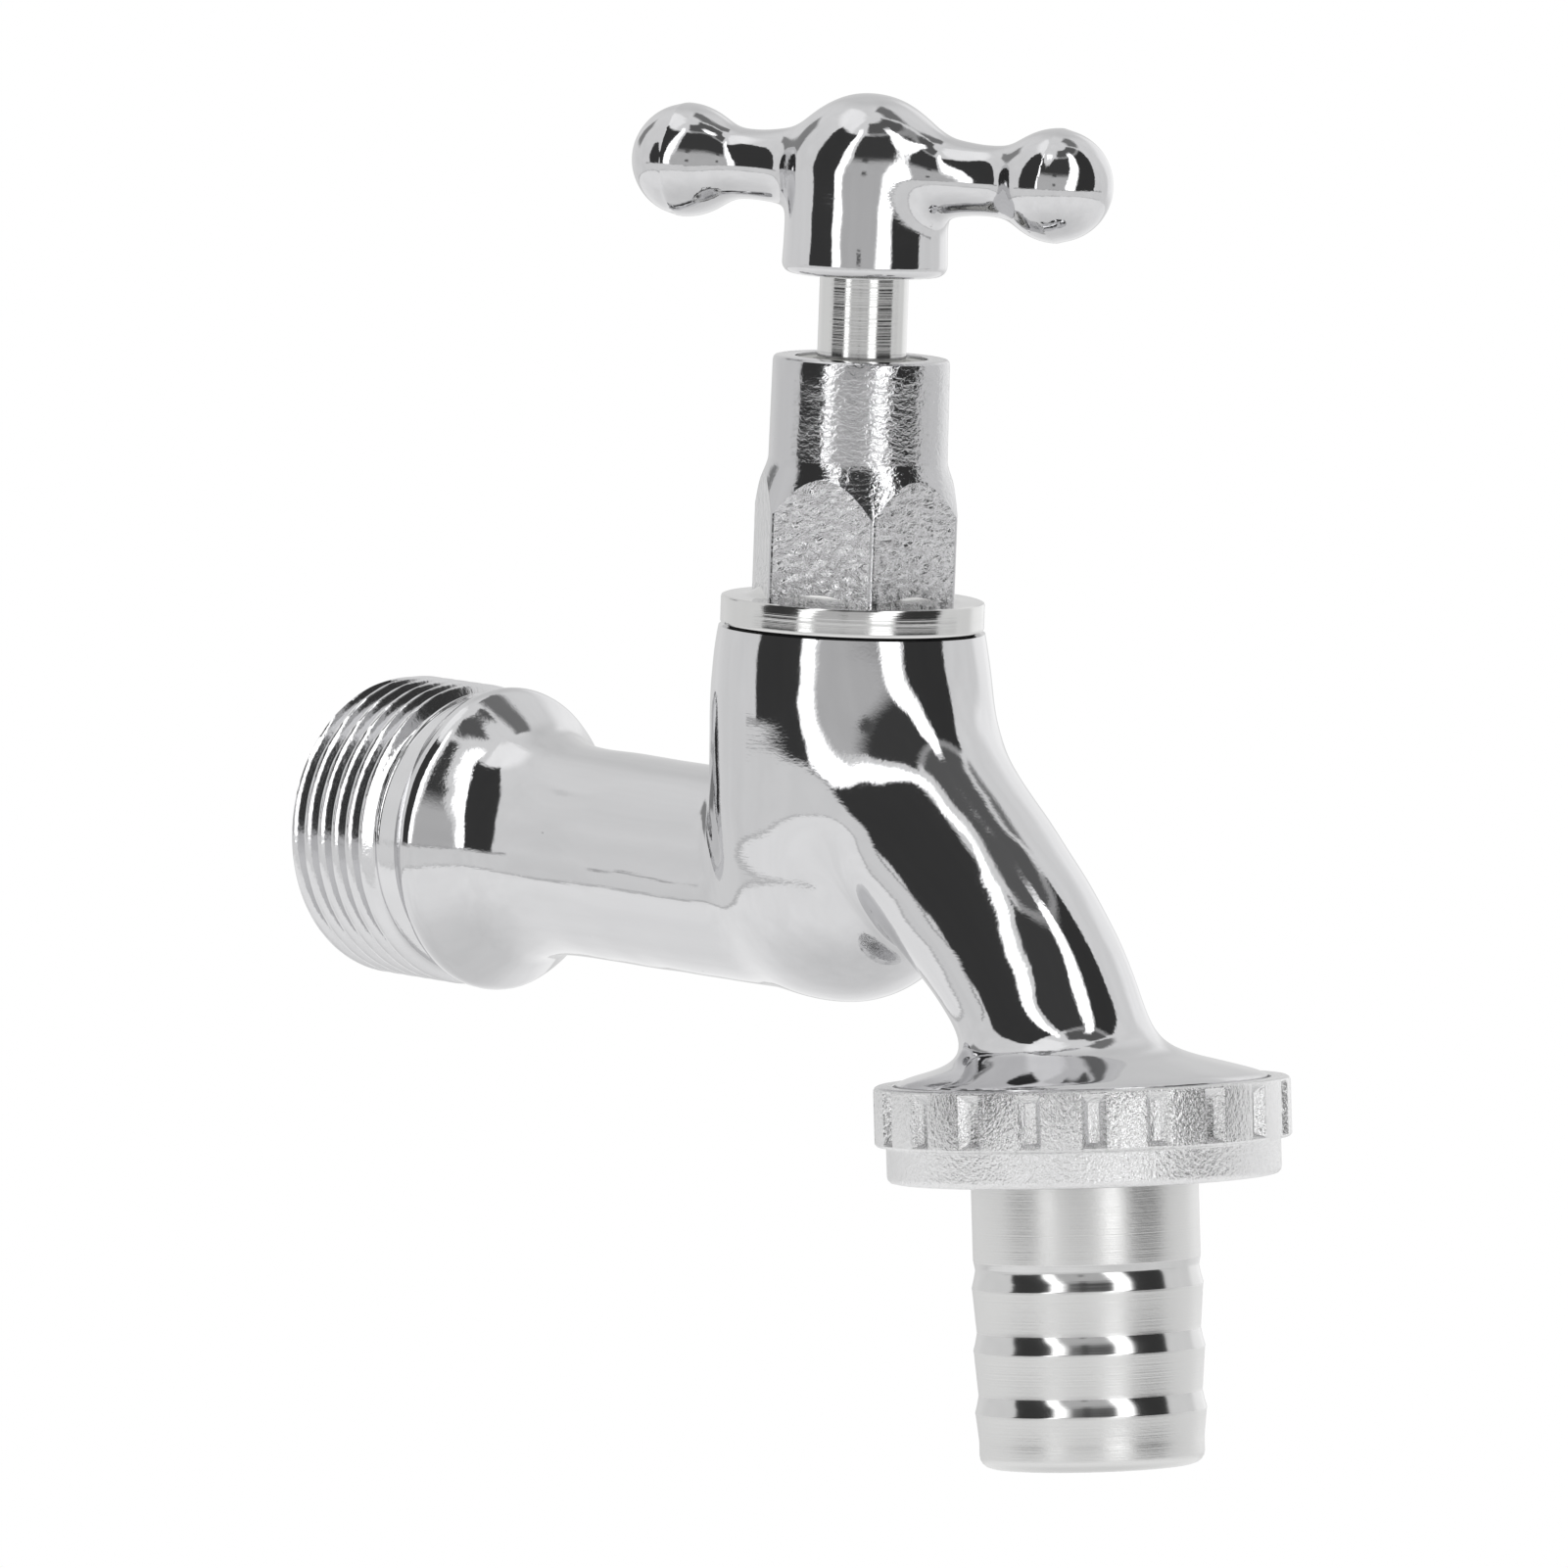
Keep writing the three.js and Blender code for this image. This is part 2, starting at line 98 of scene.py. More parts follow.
class Nodes:
    """Short names for wiring shader nodes."""

    def __init__(self, tree):
        self.t = tree
        self.n = tree.nodes
        self.l = tree.links
        self.n.clear()

    def add(self, kind, **props):
        node = self.n.new(kind)
        for k, v in props.items():
            setattr(node, k, v)
        return node

    def put(self, socket, value):
        if isinstance(value, bpy.types.NodeSocket):
            self.l.new(value, socket)
        else:
            socket.default_value = value

    def math(self, op, a, b=None, c=None, clamp=False):
        node = self.add("ShaderNodeMath", operation=op, use_clamp=clamp)
        self.put(node.inputs[0], a)
        if b is not None:
            self.put(node.inputs[1], b)
        if c is not None:
            self.put(node.inputs[2], c)
        return node.outputs[0]

    def step(self, x, lo, hi, a=0.0, b=1.0):
        """a below lo, b above hi, smooth between."""
        node = self.add("ShaderNodeMapRange", interpolation_type="SMOOTHSTEP")
        self.put(node.inputs["Value"], x)
        node.inputs["From Min"].default_value = lo
        node.inputs["From Max"].default_value = hi
        node.inputs["To Min"].default_value = a
        node.inputs["To Max"].default_value = b
        return node.outputs["Result"]

    def window(self, x, lo, hi, soft):
        return self.math("MULTIPLY", self.step(x, lo - soft, lo + soft), self.step(x, hi - soft, hi + soft, 1.0, 0.0))

    def mix(self, fac, a, b):
        node = self.add("ShaderNodeMix", data_type="RGBA")
        self.put(node.inputs[0], fac)
        self.put(node.inputs[6], a)
        self.put(node.inputs[7], b)
        return node.outputs[2]

    def lerp(self, fac, a, b):
        node = self.add("ShaderNodeMix", data_type="FLOAT")
        self.put(node.inputs[0], fac)
        self.put(node.inputs[2], a)
        self.put(node.inputs[3], b)
        return node.outputs[0]

    def noise(self, vector, scale, detail=3.0, rough=0.5, distortion=0.0):
        node = self.add("ShaderNodeTexNoise")
        self.put(node.inputs["Vector"], vector)
        node.inputs["Scale"].default_value = scale
        node.inputs["Detail"].default_value = detail
        node.inputs["Roughness"].default_value = rough
        node.inputs["Distortion"].default_value = distortion
        return node.outputs["Fac"]

    def mapped(self, vector, scale=(1, 1, 1), rotation=(0, 0, 0), location=(0, 0, 0)):
        node = self.add("ShaderNodeMapping")
        self.put(node.inputs["Vector"], vector)
        node.inputs["Scale"].default_value = scale
        node.inputs["Rotation"].default_value = rotation
        node.inputs["Location"].default_value = location
        return node.outputs["Vector"]


def world():
    """A white studio: two bright leaning strips between dark flags in front of the object, and a lighter table below."""
    w = bpy.data.worlds.new("studio")
    bpy.context.scene.world = w
    w.use_nodes = True
    k = Nodes(w.node_tree)
    tc = k.add("ShaderNodeTexCoord")
    sep = k.add("ShaderNodeSeparateXYZ")
    k.l.new(tc.outputs["Generated"], sep.inputs[0])
    x, y, z = sep.outputs
    # azimuth from the photograph's viewing direction, positive to the right, in degrees
    c, s = math.cos(-CAM_AL), math.sin(-CAM_AL)
    front = k.math("ADD", k.math("MULTIPLY", x, c), k.math("MULTIPLY", y, s))
    side = k.math("ADD", k.math("MULTIPLY", x, -s), k.math("MULTIPLY", y, c))
    az = k.math("MULTIPLY", k.math("ARCTAN2", side, front), 180 / math.pi)
    el = k.math("MULTIPLY", k.math("ARCSINE", z), 180 / math.pi)
    wob = k.math("MULTIPLY", k.math("SUBTRACT", k.noise(tc.outputs["Generated"], 3.5, 2.0, 0.5), 0.5), 7.0)
    az = k.math("ADD", az, wob)
    rise = k.math("MINIMUM", k.math("MAXIMUM", el, 0.0), 62.0)
    lean = k.math("SUBTRACT", az, k.math("MULTIPLY", rise, 0.38))
    slant = k.math("SUBTRACT", az, k.math("MULTIPLY", rise, 0.30))
    above = k.step(el, -6.0, -4.8)

    def box(u, a0, a1, e0, e1, soft=1.0, esoft=2.0):
        return k.math("MULTIPLY", k.window(u, a0, a1, soft), k.window(el, e0, e1, esoft))

    # walls and ceiling, then the table: lighter below its far edge
    value = k.step(el, -5.0, 60.0, 0.84, 0.90)
    back = k.math("MAXIMUM", k.step(az, -170.0, -150.0, 1.0, 0.0), k.step(az, 145.0, 172.0))
    value = k.lerp(k.math("MULTIPLY", back, k.step(el, 50.0, 75.0, 1.0, 0.0)), value, 0.74)
    value = k.lerp(box(az, -150.0, -45.0, 58.0, 84.0, 6.0, 4.0), value, 1.15)
    value = k.lerp(box(az, 128.0, 168.0, -10.0, 30.0, 6.0, 6.0), value, 1.08)
    value = k.lerp(k.step(el, -19.0, -17.2, 1.0, 0.0), value, k.step(el, -72.0, -27.0, 0.80, 1.01))
    value = k.lerp(box(az, -180.0, 100.0, -18.6, -17.4, 1.0, 0.5), value, 0.62)
    value = k.lerp(box(az, -95.0, 104.0, -6.6, -5.2, 2.0, 0.5), value, 0.45)
    value = k.lerp(box(az, -143.0, -125.0, 9.0, 34.0, 3.0, 3.0), value, 0.30)
    value = k.lerp(box(az, -2.0, 100.0, 56.0, 67.0, 5.0, 1.5), value, 0.40)
    value = k.lerp(box(az, -5.0, 104.0, 64.0, 80.0, 5.0, 1.5), value, 0.13)
    value = k.lerp(box(az, 112.0, 166.0, 60.0, 76.0, 4.0, 3.0), value, 0.22)
    # flags and strips, leaning to the right as they rise
    tall = k.math("MULTIPLY", above, k.step(el, 58.0, 62.0, 1.0, 0.0))
    left = k.math("MULTIPLY", k.step(az, -87.0, -84.0), k.step(slant, -49.0, -47.5, 1.0, 0.0))
    dim = k.lerp(k.step(el, 16.0, 29.0), 0.58, 0.06)
    for mask, level in ((left, 0.05), (k.window(lean, -34.5, 14.0, 1.0), dim), (k.window(lean, 38.0, 80.0, 1.2), 0.045)):
        value = k.lerp(k.math("MULTIPLY", mask, tall), value, level)
    high = k.math("MULTIPLY", above, k.step(el, 64.0, 72.0, 1.0, 0.0))
    for mask, level in ((k.window(slant, -47.0, -36.5, 1.5), 2.2), (k.window(lean, 16.0, 35.0, 1.5), 2.3)):
        value = k.lerp(k.math("MULTIPLY", mask, high), value, level)
    value = k.lerp(box(az, -11.0, -3.0, 20.0, 27.0, 2.0, 2.0), value, 0.10)
    value = k.lerp(box(az, -10.0, -4.0, 1.5, 6.5, 1.5, 1.5), value, 0.14)
    value = k.math("MULTIPLY", value, k.lerp(k.noise(tc.outputs["Generated"], 4.0, 4.0, 0.6), 0.90, 1.10))
    ray = k.add("ShaderNodeLightPath")
    value = k.lerp(ray.outputs["Is Camera Ray"], value, 1.0)
    bg = k.add("ShaderNodeBackground")
    colour = k.add("ShaderNodeCombineColor")
    for i in range(3):
        k.l.new(value, colour.inputs[i])
    k.l.new(colour.outputs[0], bg.inputs["Color"])
    out = k.add("ShaderNodeOutputWorld")
    k.l.new(bg.outputs[0], out.inputs["Surface"])


world()
bpy.context.scene.view_settings.view_transform = "Standard"
bpy.context.scene.view_settings.look = "None"


# ------------------------------------------------------------------ frames and mesh helpers
ROW = Matrix.Identity(4)
VALVE = Matrix.Translation(Vector((VX * MM, 0, 0)))
BAR = VALVE @ Matrix.Rotation(math.radians(BAR_DEG), 4, "Z")
OUTLET = Matrix.Translation(Vector(OUT * MM)) @ Matrix.Rotation(-TAU, 4, "Y")


def raw(verts, faces, name="piece"):
    me = bpy.data.meshes.new(name)
    me.from_pydata((np.asarray(verts, float) * MM).tolist(), [], [tuple(int(i) for i in f) for f in faces])
    me.update()
    ob = bpy.data.objects.new(name, me)
    bpy.context.scene.collection.objects.link(ob)
    return ob


def joined(obs, name):
    """Several closed shells as one object."""
    bpy.ops.object.select_all(action="DESELECT")
    for o in obs:
        o.select_set(True)
    bpy.context.view_layer.objects.active = obs[0]
    if len(obs) > 1:
        bpy.ops.object.join()
    ob = bpy.context.view_layer.objects.active
    ob.name = name
    ob.data.name = name
    return ob


def finish_object(ob, mat, body, nodes=(), smooth=None, frame_=None):
    mats = mat if isinstance(mat, (list, tuple)) else [mat]
    if len(mats) == 1:
        ob.data.materials.clear()
        for p in ob.data.polygons:
            p.material_index = 0
    for m in mats:
        if m.name not in [x.name for x in ob.data.materials if x]:
            ob.data.materials.append(m)
    if smooth is not None:
        for p in ob.data.polygons:
            p.use_smooth = True
        ob.data.set_sharp_from_angle(angle=math.radians(smooth))
    if frame_ is not None:
        ob.matrix_world = frame_
    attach(ob, body)
    if nodes:
        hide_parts(*nodes)
    return ob


def lathe(profile, n=192, closed=True):
    """Turned about Z from a closed profile of (r, z). Points on the axis become one vertex. Returns verts, faces (outward)."""
    p = [tuple(q) for q in profile]
    area = sum(p[i][0] * p[(i + 1) % len(p)][1] - p[(i + 1) % len(p)][0] * p[i][1] for i in range(len(p)))
    if area < 0:
        p.reverse()
    th = np.arange(n) * 2 * math.pi / n
    ct, st = np.cos(th), np.sin(th)
    verts, rows = [], []
    for r, z in p:
        if r < 1e-9:
            rows.append([len(verts)] * n)
            verts.append((0.0, 0.0, z))
        else:
            rows.append(list(range(len(verts), len(verts) + n)))
            verts.extend(zip(r * ct, r * st, [z] * n))
    faces = []
    m = len(p)
    for i in range(m):
        a, b = rows[i], rows[(i + 1) % m]
        if a[0] == a[-1] and b[0] == b[-1]:
            continue
        for j in range(n):
            q = [a[j], a[(j + 1) % n], b[(j + 1) % n], b[j]]
            f = []
            for v in q:
                if v not in f:
                    f.append(v)
            if len(f) > 2:
                faces.append(f)
    return np.array(verts), faces


def tube(R, zs, inner):
    """A closed tube about Z: R[m, n] is its outside, inner[m] its bore."""
    m, n = R.shape
    th = np.arange(n) * 2 * math.pi / n
    T, Z = np.meshgrid(th, zs)
    outer = np.stack([R * np.cos(T), R * np.sin(T), Z], -1).reshape(-1, 3)
    I = inner[:, None] + 0 * T
    inn = np.stack([I * np.cos(T), I * np.sin(T), Z], -1).reshape(-1, 3)
    i, j = np.meshgrid(np.arange(m - 1), np.arange(n), indexing="ij")
    k = (j + 1) % n
    o = m * n
    a, b, c, d = i * n + j, i * n + k, (i + 1) * n + k, (i + 1) * n + j
    f1 = np.stack([a, b, c, d], -1).reshape(-1, 4)
    f2 = np.stack([o + a, o + d, o + c, o + b], -1).reshape(-1, 4)
    j = np.arange(n)
    k = (j + 1) % n
    e = (m - 1) * n
    f3 = np.stack([j, o + j, o + k, k], -1)
    f4 = np.stack([e + j, e + k, o + e + k, o + e + j], -1)
    return np.concatenate([outer, inn]), np.concatenate([f1, f2, f3, f4])


def male_thread(z0, z1, bore, crest, runout, neck, chamfer, n=256, dz=0.07, depth=1.162, hand=1):
    """A helical thread from z0, running out into a plain neck, as a closed tube with a bore."""
    zs = np.arange(z0, z1 + 1e-6, dz)
    th = np.arange(n) * 2 * math.pi / n
    T, Z = np.meshgrid(th, zs)
    u = ((Z - crest) / PITCH - hand * T / (2 * math.pi)) % 1.0
    d = 1 - np.abs(u - 0.5) * 2                    # 0 at the crest, 1 at the root
    prof = np.clip((d - 0.13) / 0.74, 0, 1)
    prof = 0.6 * prof + 0.4 * prof * prof * (3 - 2 * prof)
    R = THREAD_R - depth * prof
    k = np.clip((Z - runout[0]) / (runout[1] - runout[0]), 0, 1)
    R = R * (1 - k) + neck * k
    R = np.minimum(R, THREAD_R - chamfer + np.maximum(Z - z0, 0) * 0.9)
    return tube(R, zs, np.array([bore(z) for z in zs]))


def along_x(v):
    """+Z of a turned piece becomes +X."""
    v = np.asarray(v, float)
    return np.stack([v[:, 2], v[:, 1], -v[:, 0]], 1)


def to_outlet(v):
    """Outlet-local (z up the outlet axis from the nut's lower face) to the row frame."""
    v = np.asarray(v, float)
    a = np.array([math.cos(TAU), 0, math.sin(TAU)])
    n = np.array([-math.sin(TAU), 0, math.cos(TAU)])
    return OUT + v[:, :1] * a + v[:, 1:2] * np.array([0, 1.0, 0]) + v[:, 2:3] * n


def from_outlet(p):
    q = p - OUT
    a = np.array([math.cos(TAU), 0, math.sin(TAU)])
    n = np.array([-math.sin(TAU), 0, math.cos(TAU)])
    return q @ a, q[:, 1], q @ n


# ------------------------------------------------------------------ implicit surfaces
def smin(a, b, k):
    h = np.maximum(k - np.abs(a - b), 0) / k
    return np.minimum(a, b) - h * h * h * k / 6.0


def waviness(p, seed, wavelength, amount):
    """Smooth, seeded unevenness of a polished casting: a sum of plane waves."""
    rng = np.random.RandomState(seed)
    out = np.zeros(len(p))
    for _ in range(14):
        d = rng.normal(size=3)
        d /= np.linalg.norm(d)
        w = wavelength * rng.uniform(0.7, 1.8)
        out += np.sin(p @ d * (2 * math.pi / w) + rng.uniform(0, 6.28)) * rng.uniform(0.5, 1.0)
    return out * amount / 3.0


def gradient(f, p, e=0.02):
    g = np.empty_like(p)
    for i in range(3):
        d = np.zeros(3)
        d[i] = e
        g[:, i] = (f(p + d) - f(p - d)) / (2 * e)
    return g


def surface_net(f, lo, hi, h, relax=4):
    """The zero surface of f as quads: one vertex per crossed cell, moved onto the surface and evened out."""
    lo = np.array(lo, float)
    n = np.ceil((np.array(hi, float) - lo) / h).astype(int) + 1
    # a coarse pass finds the blocks that can hold the surface
    B = 6
    nb = np.ceil((n - 1) / B).astype(int)
    F = np.full(n, 1e3)
    bc = np.stack(np.meshgrid(*[np.arange(m) for m in nb], indexing="ij"), -1).reshape(-1, 3)
    centre = lo + (bc * B + B / 2) * h
    fc = f(centre)
    reach = B * h * 0.5 * math.sqrt(3) * 1.6
    sign = np.where(fc < 0, -1e3, 1e3)
    for (i, j, k), v, s in zip(bc, fc, sign):
        if abs(v) >= reach:
            F[i * B:min(i * B + B + 1, n[0]), j * B:min(j * B + B + 1, n[1]), k * B:min(k * B + B + 1, n[2])] = s
    near = bc[np.abs(fc) < reach]
    off = np.stack(np.meshgrid(*[np.arange(B + 1)] * 3, indexing="ij"), -1).reshape(-1, 3)
    for start in range(0, len(near), 400):
        ids = (near[start:start + 400, None, :] * B + off[None]).reshape(-1, 3)
        ids = ids[(ids < n).all(1)]
        F[ids[:, 0], ids[:, 1], ids[:, 2]] = f(lo + ids * h)
    inside = F < 0
    count = np.zeros(n - 1, np.int8)
    for dx in (0, 1):
        for dy in (0, 1):
            for dz in (0, 1):
                count += inside[dx:n[0] - 1 + dx, dy:n[1] - 1 + dy, dz:n[2] - 1 + dz]
    cells = np.argwhere((count > 0) & (count < 8))
    index = np.full(n - 1, -1, np.int64)
    index[cells[:, 0], cells[:, 1], cells[:, 2]] = np.arange(len(cells))
    pos = np.zeros((len(cells), 3))
    num = np.zeros(len(cells))
    corners = [(x, y, z) for x in (0, 1) for y in (0, 1) for z in (0, 1)]
    for a in corners:
        for ax in range(3):
            if a[ax]:
                continue
            b = list(a)
            b[ax] = 1
            fa = F[cells[:, 0] + a[0], cells[:, 1] + a[1], cells[:, 2] + a[2]]
            fb = F[cells[:, 0] + b[0], cells[:, 1] + b[1], cells[:, 2] + b[2]]
            cross = (fa < 0) != (fb < 0)
            t = np.where(cross, fa / np.where(cross, fa - fb, 1), 0)
            q = np.array(a, float)[None] + np.zeros((len(cells), 3))
            q[:, ax] += np.clip(t, 0, 1)
            pos[cross] += q[cross]
            num[cross] += 1
    v = lo + (cells + pos / num[:, None]) * h
    quads = []
    for ax in range(3):
        o1, o2 = [(1, 2), (2, 0), (0, 1)][ax]
        sl_a = [slice(None)] * 3
        sl_b = [slice(None)] * 3
        sl_a[ax] = slice(0, n[ax] - 1)
        sl_b[ax] = slice(1, n[ax])
        ia, ib = inside[tuple(sl_a)], inside[tuple(sl_b)]
        edge = np.argwhere(ia != ib)
        ok = (edge[:, o1] > 0) & (edge[:, o2] > 0) & (edge[:, o1] < n[o1] - 1) & (edge[:, o2] < n[o2] - 1)
        edge = edge[ok]
        flip = ia[edge[:, 0], edge[:, 1], edge[:, 2]]
        ring = []
        for d1, d2 in ((-1, -1), (0, -1), (0, 0), (-1, 0)):
            c = edge.copy()
            c[:, o1] += d1
            c[:, o2] += d2
            ring.append(index[c[:, 0], c[:, 1], c[:, 2]])
        q = np.stack(ring, 1)
        q = np.where(flip[:, None], q, q[:, ::-1])
        quads.append(q)
    quads = np.concatenate(quads)
    e = np.concatenate([quads[:, [0, 1]], quads[:, [1, 2]], quads[:, [2, 3]], quads[:, [3, 0]]])
    for step in range(relax + 1):
        if step:
            s = np.zeros_like(v)
            c = np.zeros(len(v))
            np.add.at(s, e[:, 0], v[e[:, 1]])
            np.add.at(c, e[:, 0], 1)
            m = s / c[:, None]
            g = gradient(f, v)
            nn = g / np.linalg.norm(g, axis=1, keepdims=True)
            d = m - v
            v = v + 0.6 * (d - (d * nn).sum(1, keepdims=True) * nn)
        for _ in range(2):
            fv = f(v)
            g = gradient(f, v)
            v = v - (fv / (g * g).sum(1))[:, None] * g
    return v, quads


# ------------------------------------------------------------------ the cast body's outer surface
SPINE = np.array([[60.5, 13.5], [65.86, 8.91], [71.06, 4.76], [76.4, 0.7], [80.74, -3.25], [83.56, -6.55], [85.33, -9.34], [86.52, -12.25]])
SPINE_R = np.array([9.2, 8.97, 8.61, 8.25, 8.01, 7.83, 7.77, 7.9])
_u = np.concatenate([[0], np.cumsum(np.linalg.norm(np.diff(SPINE, axis=0), axis=1))])
_u /= _u[-1]
SX, SZ, SR = (np.polyfit(_u, q, 5) for q in (SPINE[:, 0], SPINE[:, 1], SPINE_R))
DX, DZ = np.polyder(SX), np.polyder(SZ)
D2X, D2Z = np.polyder(DX), np.polyder(DZ)
_T = np.linspace(0, 1, 33)
_PX, _PZ = np.polyval(SX, _T), np.polyval(SZ, _T)


def spout_distance(p):
    """Distance to the spout's centreline, and the place along it."""
    x, y, z = p[:, 0], p[:, 1], p[:, 2]
    d = (x[:, None] - _PX) ** 2 + (z[:, None] - _PZ) ** 2
    t = _T[np.argmin(d, 1)]
    for _ in range(3):
        ex, ez = np.polyval(SX, t) - x, np.polyval(SZ, t) - z
        dx, dz = np.polyval(DX, t), np.polyval(DZ, t)
        g = ex * dx + ez * dz
        gg = dx * dx + dz * dz + ex * np.polyval(D2X, t) + ez * np.polyval(D2Z, t)
        t = np.clip(t - g / np.maximum(gg, 30.0), 0, 1)
    ex, ez = np.polyval(SX, t) - x, np.polyval(SZ, t) - z
    return np.sqrt(ex * ex + ez * ez + y * y), t


COLLAR = np.array([[11.0, 11.3], [11.8, 12.1], [12.5, 12.65], [13.2, 13.05], [13.9, 13.32], [14.6, 13.3], [15.3, 12.95], [16.0, 12.45], [17.0, 11.75],
                   [18.0, 11.1], [19.0, 10.5], [20.1, 10.0], [21.7, 9.55], [23.2, 9.3], [25.5, 9.15], [30.0, 9.12], [36.0, 9.08], [44.0, 9.05], [62.0, 9.0]])


def spline_table(points, n=2000):
    """Natural cubic spline through the points, as a fine table."""
    x, y = points[:, 0], points[:, 1]
    m = len(x)
    h = np.diff(x)
    A = np.zeros((m, m))
    b = np.zeros(m)
    A[0, 0] = A[-1, -1] = 1
    for i in range(1, m - 1):
        A[i, i - 1], A[i, i], A[i, i + 1] = h[i - 1], 2 * (h[i - 1] + h[i]), h[i]
        b[i] = 3 * ((y[i + 1] - y[i]) / h[i] - (y[i] - y[i - 1]) / h[i - 1])
    c = np.linalg.solve(A, b)
    xs = np.linspace(x[0], x[-1], n)
    i = np.clip(np.searchsorted(x, xs) - 1, 0, m - 2)
    d = (c[i + 1] - c[i]) / (3 * h[i])
    bb = (y[i + 1] - y[i]) / h[i] - h[i] * (2 * c[i] + c[i + 1]) / 3
    t = xs - x[i]
    return xs, y[i] + bb * t + c[i] * t * t + d * t ** 3


CX, CR = spline_table(COLLAR)
CS = np.gradient(CR, CX)


def smoothstep(x, a, b):
    t = np.clip((x - a) / (b - a), 0, 1)
    return t * t * (3 - 2 * t)


def body_field(p):
    x, y, z = p[:, 0], p[:, 1], p[:, 2]
    # barrel and collar
    q = SQUASH - 0.025 * smoothstep(x, 15.0, 19.0) + (1.025 - SQUASH) * smoothstep(x, 18.5, 36.0)
    rho = np.hypot(y / q, z)
    r = np.interp(x, CX, CR)
    s = np.interp(x, CX, CS)
    barrel = (rho - r) / np.sqrt(1 + s * s) * (0.5 + 0.5 * q)
    over = x - 60.0
    barrel = np.where(over > 0, np.sqrt(np.maximum(barrel + 9.0, 0) ** 2 + over ** 2) - 9.0, barrel)
    barrel = np.maximum(barrel, 11.6 - x)
    # cup with its round lower end
    c = np.hypot(x - VX, y)
    rc = 10.72 + 1.02 * smoothstep(z, -1.0, 8.0) + 0.16 * smoothstep(z, 8.0, 16.5) - 0.50 * np.clip((z - 16.8) / 5.8, 0, 1.2) ** 2
    dz = np.minimum(z - 1.61, 0.0)
    cup = np.sqrt(c * c + dz * dz) - rc
    cup = np.maximum(cup, z - 24.0)
    # spout
    d, t = spout_distance(p)
    spout = d - np.polyval(SR, t)
    # skirt
    a, b, n = from_outlet(p)
    ra = np.hypot(a, b)
    top = 8.48 + 0.27 * (SKIRT_R - ra) - 0.22 * np.exp(-np.maximum(SKIRT_R - ra, 0) / 0.45)
    skirt = np.maximum((n - top) / 1.036, 6.4 - n)
    skirt = np.maximum(skirt, ra - 17.2)
    k_root = 2.2 + 4.2 * smoothstep(z, -2.5, 11.5)
    f = smin(barrel, cup, 2.2)
    f = smin(f, spout, k_root)
    f = smin(f, skirt, 4.6)
    return f + waviness(p, 3, 6.5, 0.02) + waviness(p, 4, 2.8, 0.005)


def boolean(target, cutter, operation="DIFFERENCE", solver="MANIFOLD"):
    m = target.modifiers.new("cut", "BOOLEAN")
    m.operation = operation
    try:
        m.solver = solver
    except TypeError:
        m.solver = "EXACT"
    m.object = cutter
    bpy.context.view_layer.update()
    dg = bpy.context.evaluated_depsgraph_get()
    me = bpy.data.meshes.new_from_object(target.evaluated_get(dg))
    target.modifiers.remove(m)
    if solver == "MANIFOLD" and (len(me.vertices) < 8 or (operation == "DIFFERENCE" and len(me.vertices) == len(target.data.vertices))):
        bpy.data.meshes.remove(me)
        return boolean(target, cutter, operation, "EXACT")
    old = target.data
    target.data = me
    bpy.data.meshes.remove(old)
    bpy.data.objects.remove(cutter)
    return target


def sweep(points, radii, n=48, steps=40):
    """A closed tube in the XZ plane through the points."""
    p = np.array(points, float)
    u = np.concatenate([[0], np.cumsum(np.linalg.norm(np.diff(p, axis=0), axis=1))])
    u /= u[-1]
    fx, fz, fr = (np.polyfit(u, q, 5) for q in (p[:, 0], p[:, 1], np.array(radii)))
    t = np.linspace(0, 1, steps + 1)
    x, z, r = np.polyval(fx, t), np.polyval(fz, t), np.polyval(fr, t)
    dx, dz = np.polyval(np.polyder(fx), t), np.polyval(np.polyder(fz), t)
    L = np.hypot(dx, dz)
    nx, nz = -dz / L, dx / L
    th = np.arange(n) * 2 * math.pi / n
    verts = np.stack([x[:, None] + r[:, None] * np.cos(th) * nx[:, None], r[:, None] * np.sin(th) + 0 * x[:, None],
                      z[:, None] + r[:, None] * np.cos(th) * nz[:, None]], -1).reshape(-1, 3)
    faces = [tuple(range(n))[::-1], tuple(range(steps * n, (steps + 1) * n))]
    for i in range(steps):
        for j in range(n):
            k = (j + 1) % n
            faces.append((i * n + j, i * n + k, (i + 1) * n + k, (i + 1) * n + j))
    return verts, faces


def fix_winding(ob):
    """Faces out: flips the mesh if its volume is negative."""
    me = ob.data
    me.calc_loop_triangles()
    co = np.array([v.co for v in me.vertices])
    tri = np.array([t.vertices[:] for t in me.loop_triangles])
    vol = (co[tri[:, 0]] * np.cross(co[tri[:, 1]], co[tri[:, 2]])).sum()
    if vol < 0:
        me.flip_normals()


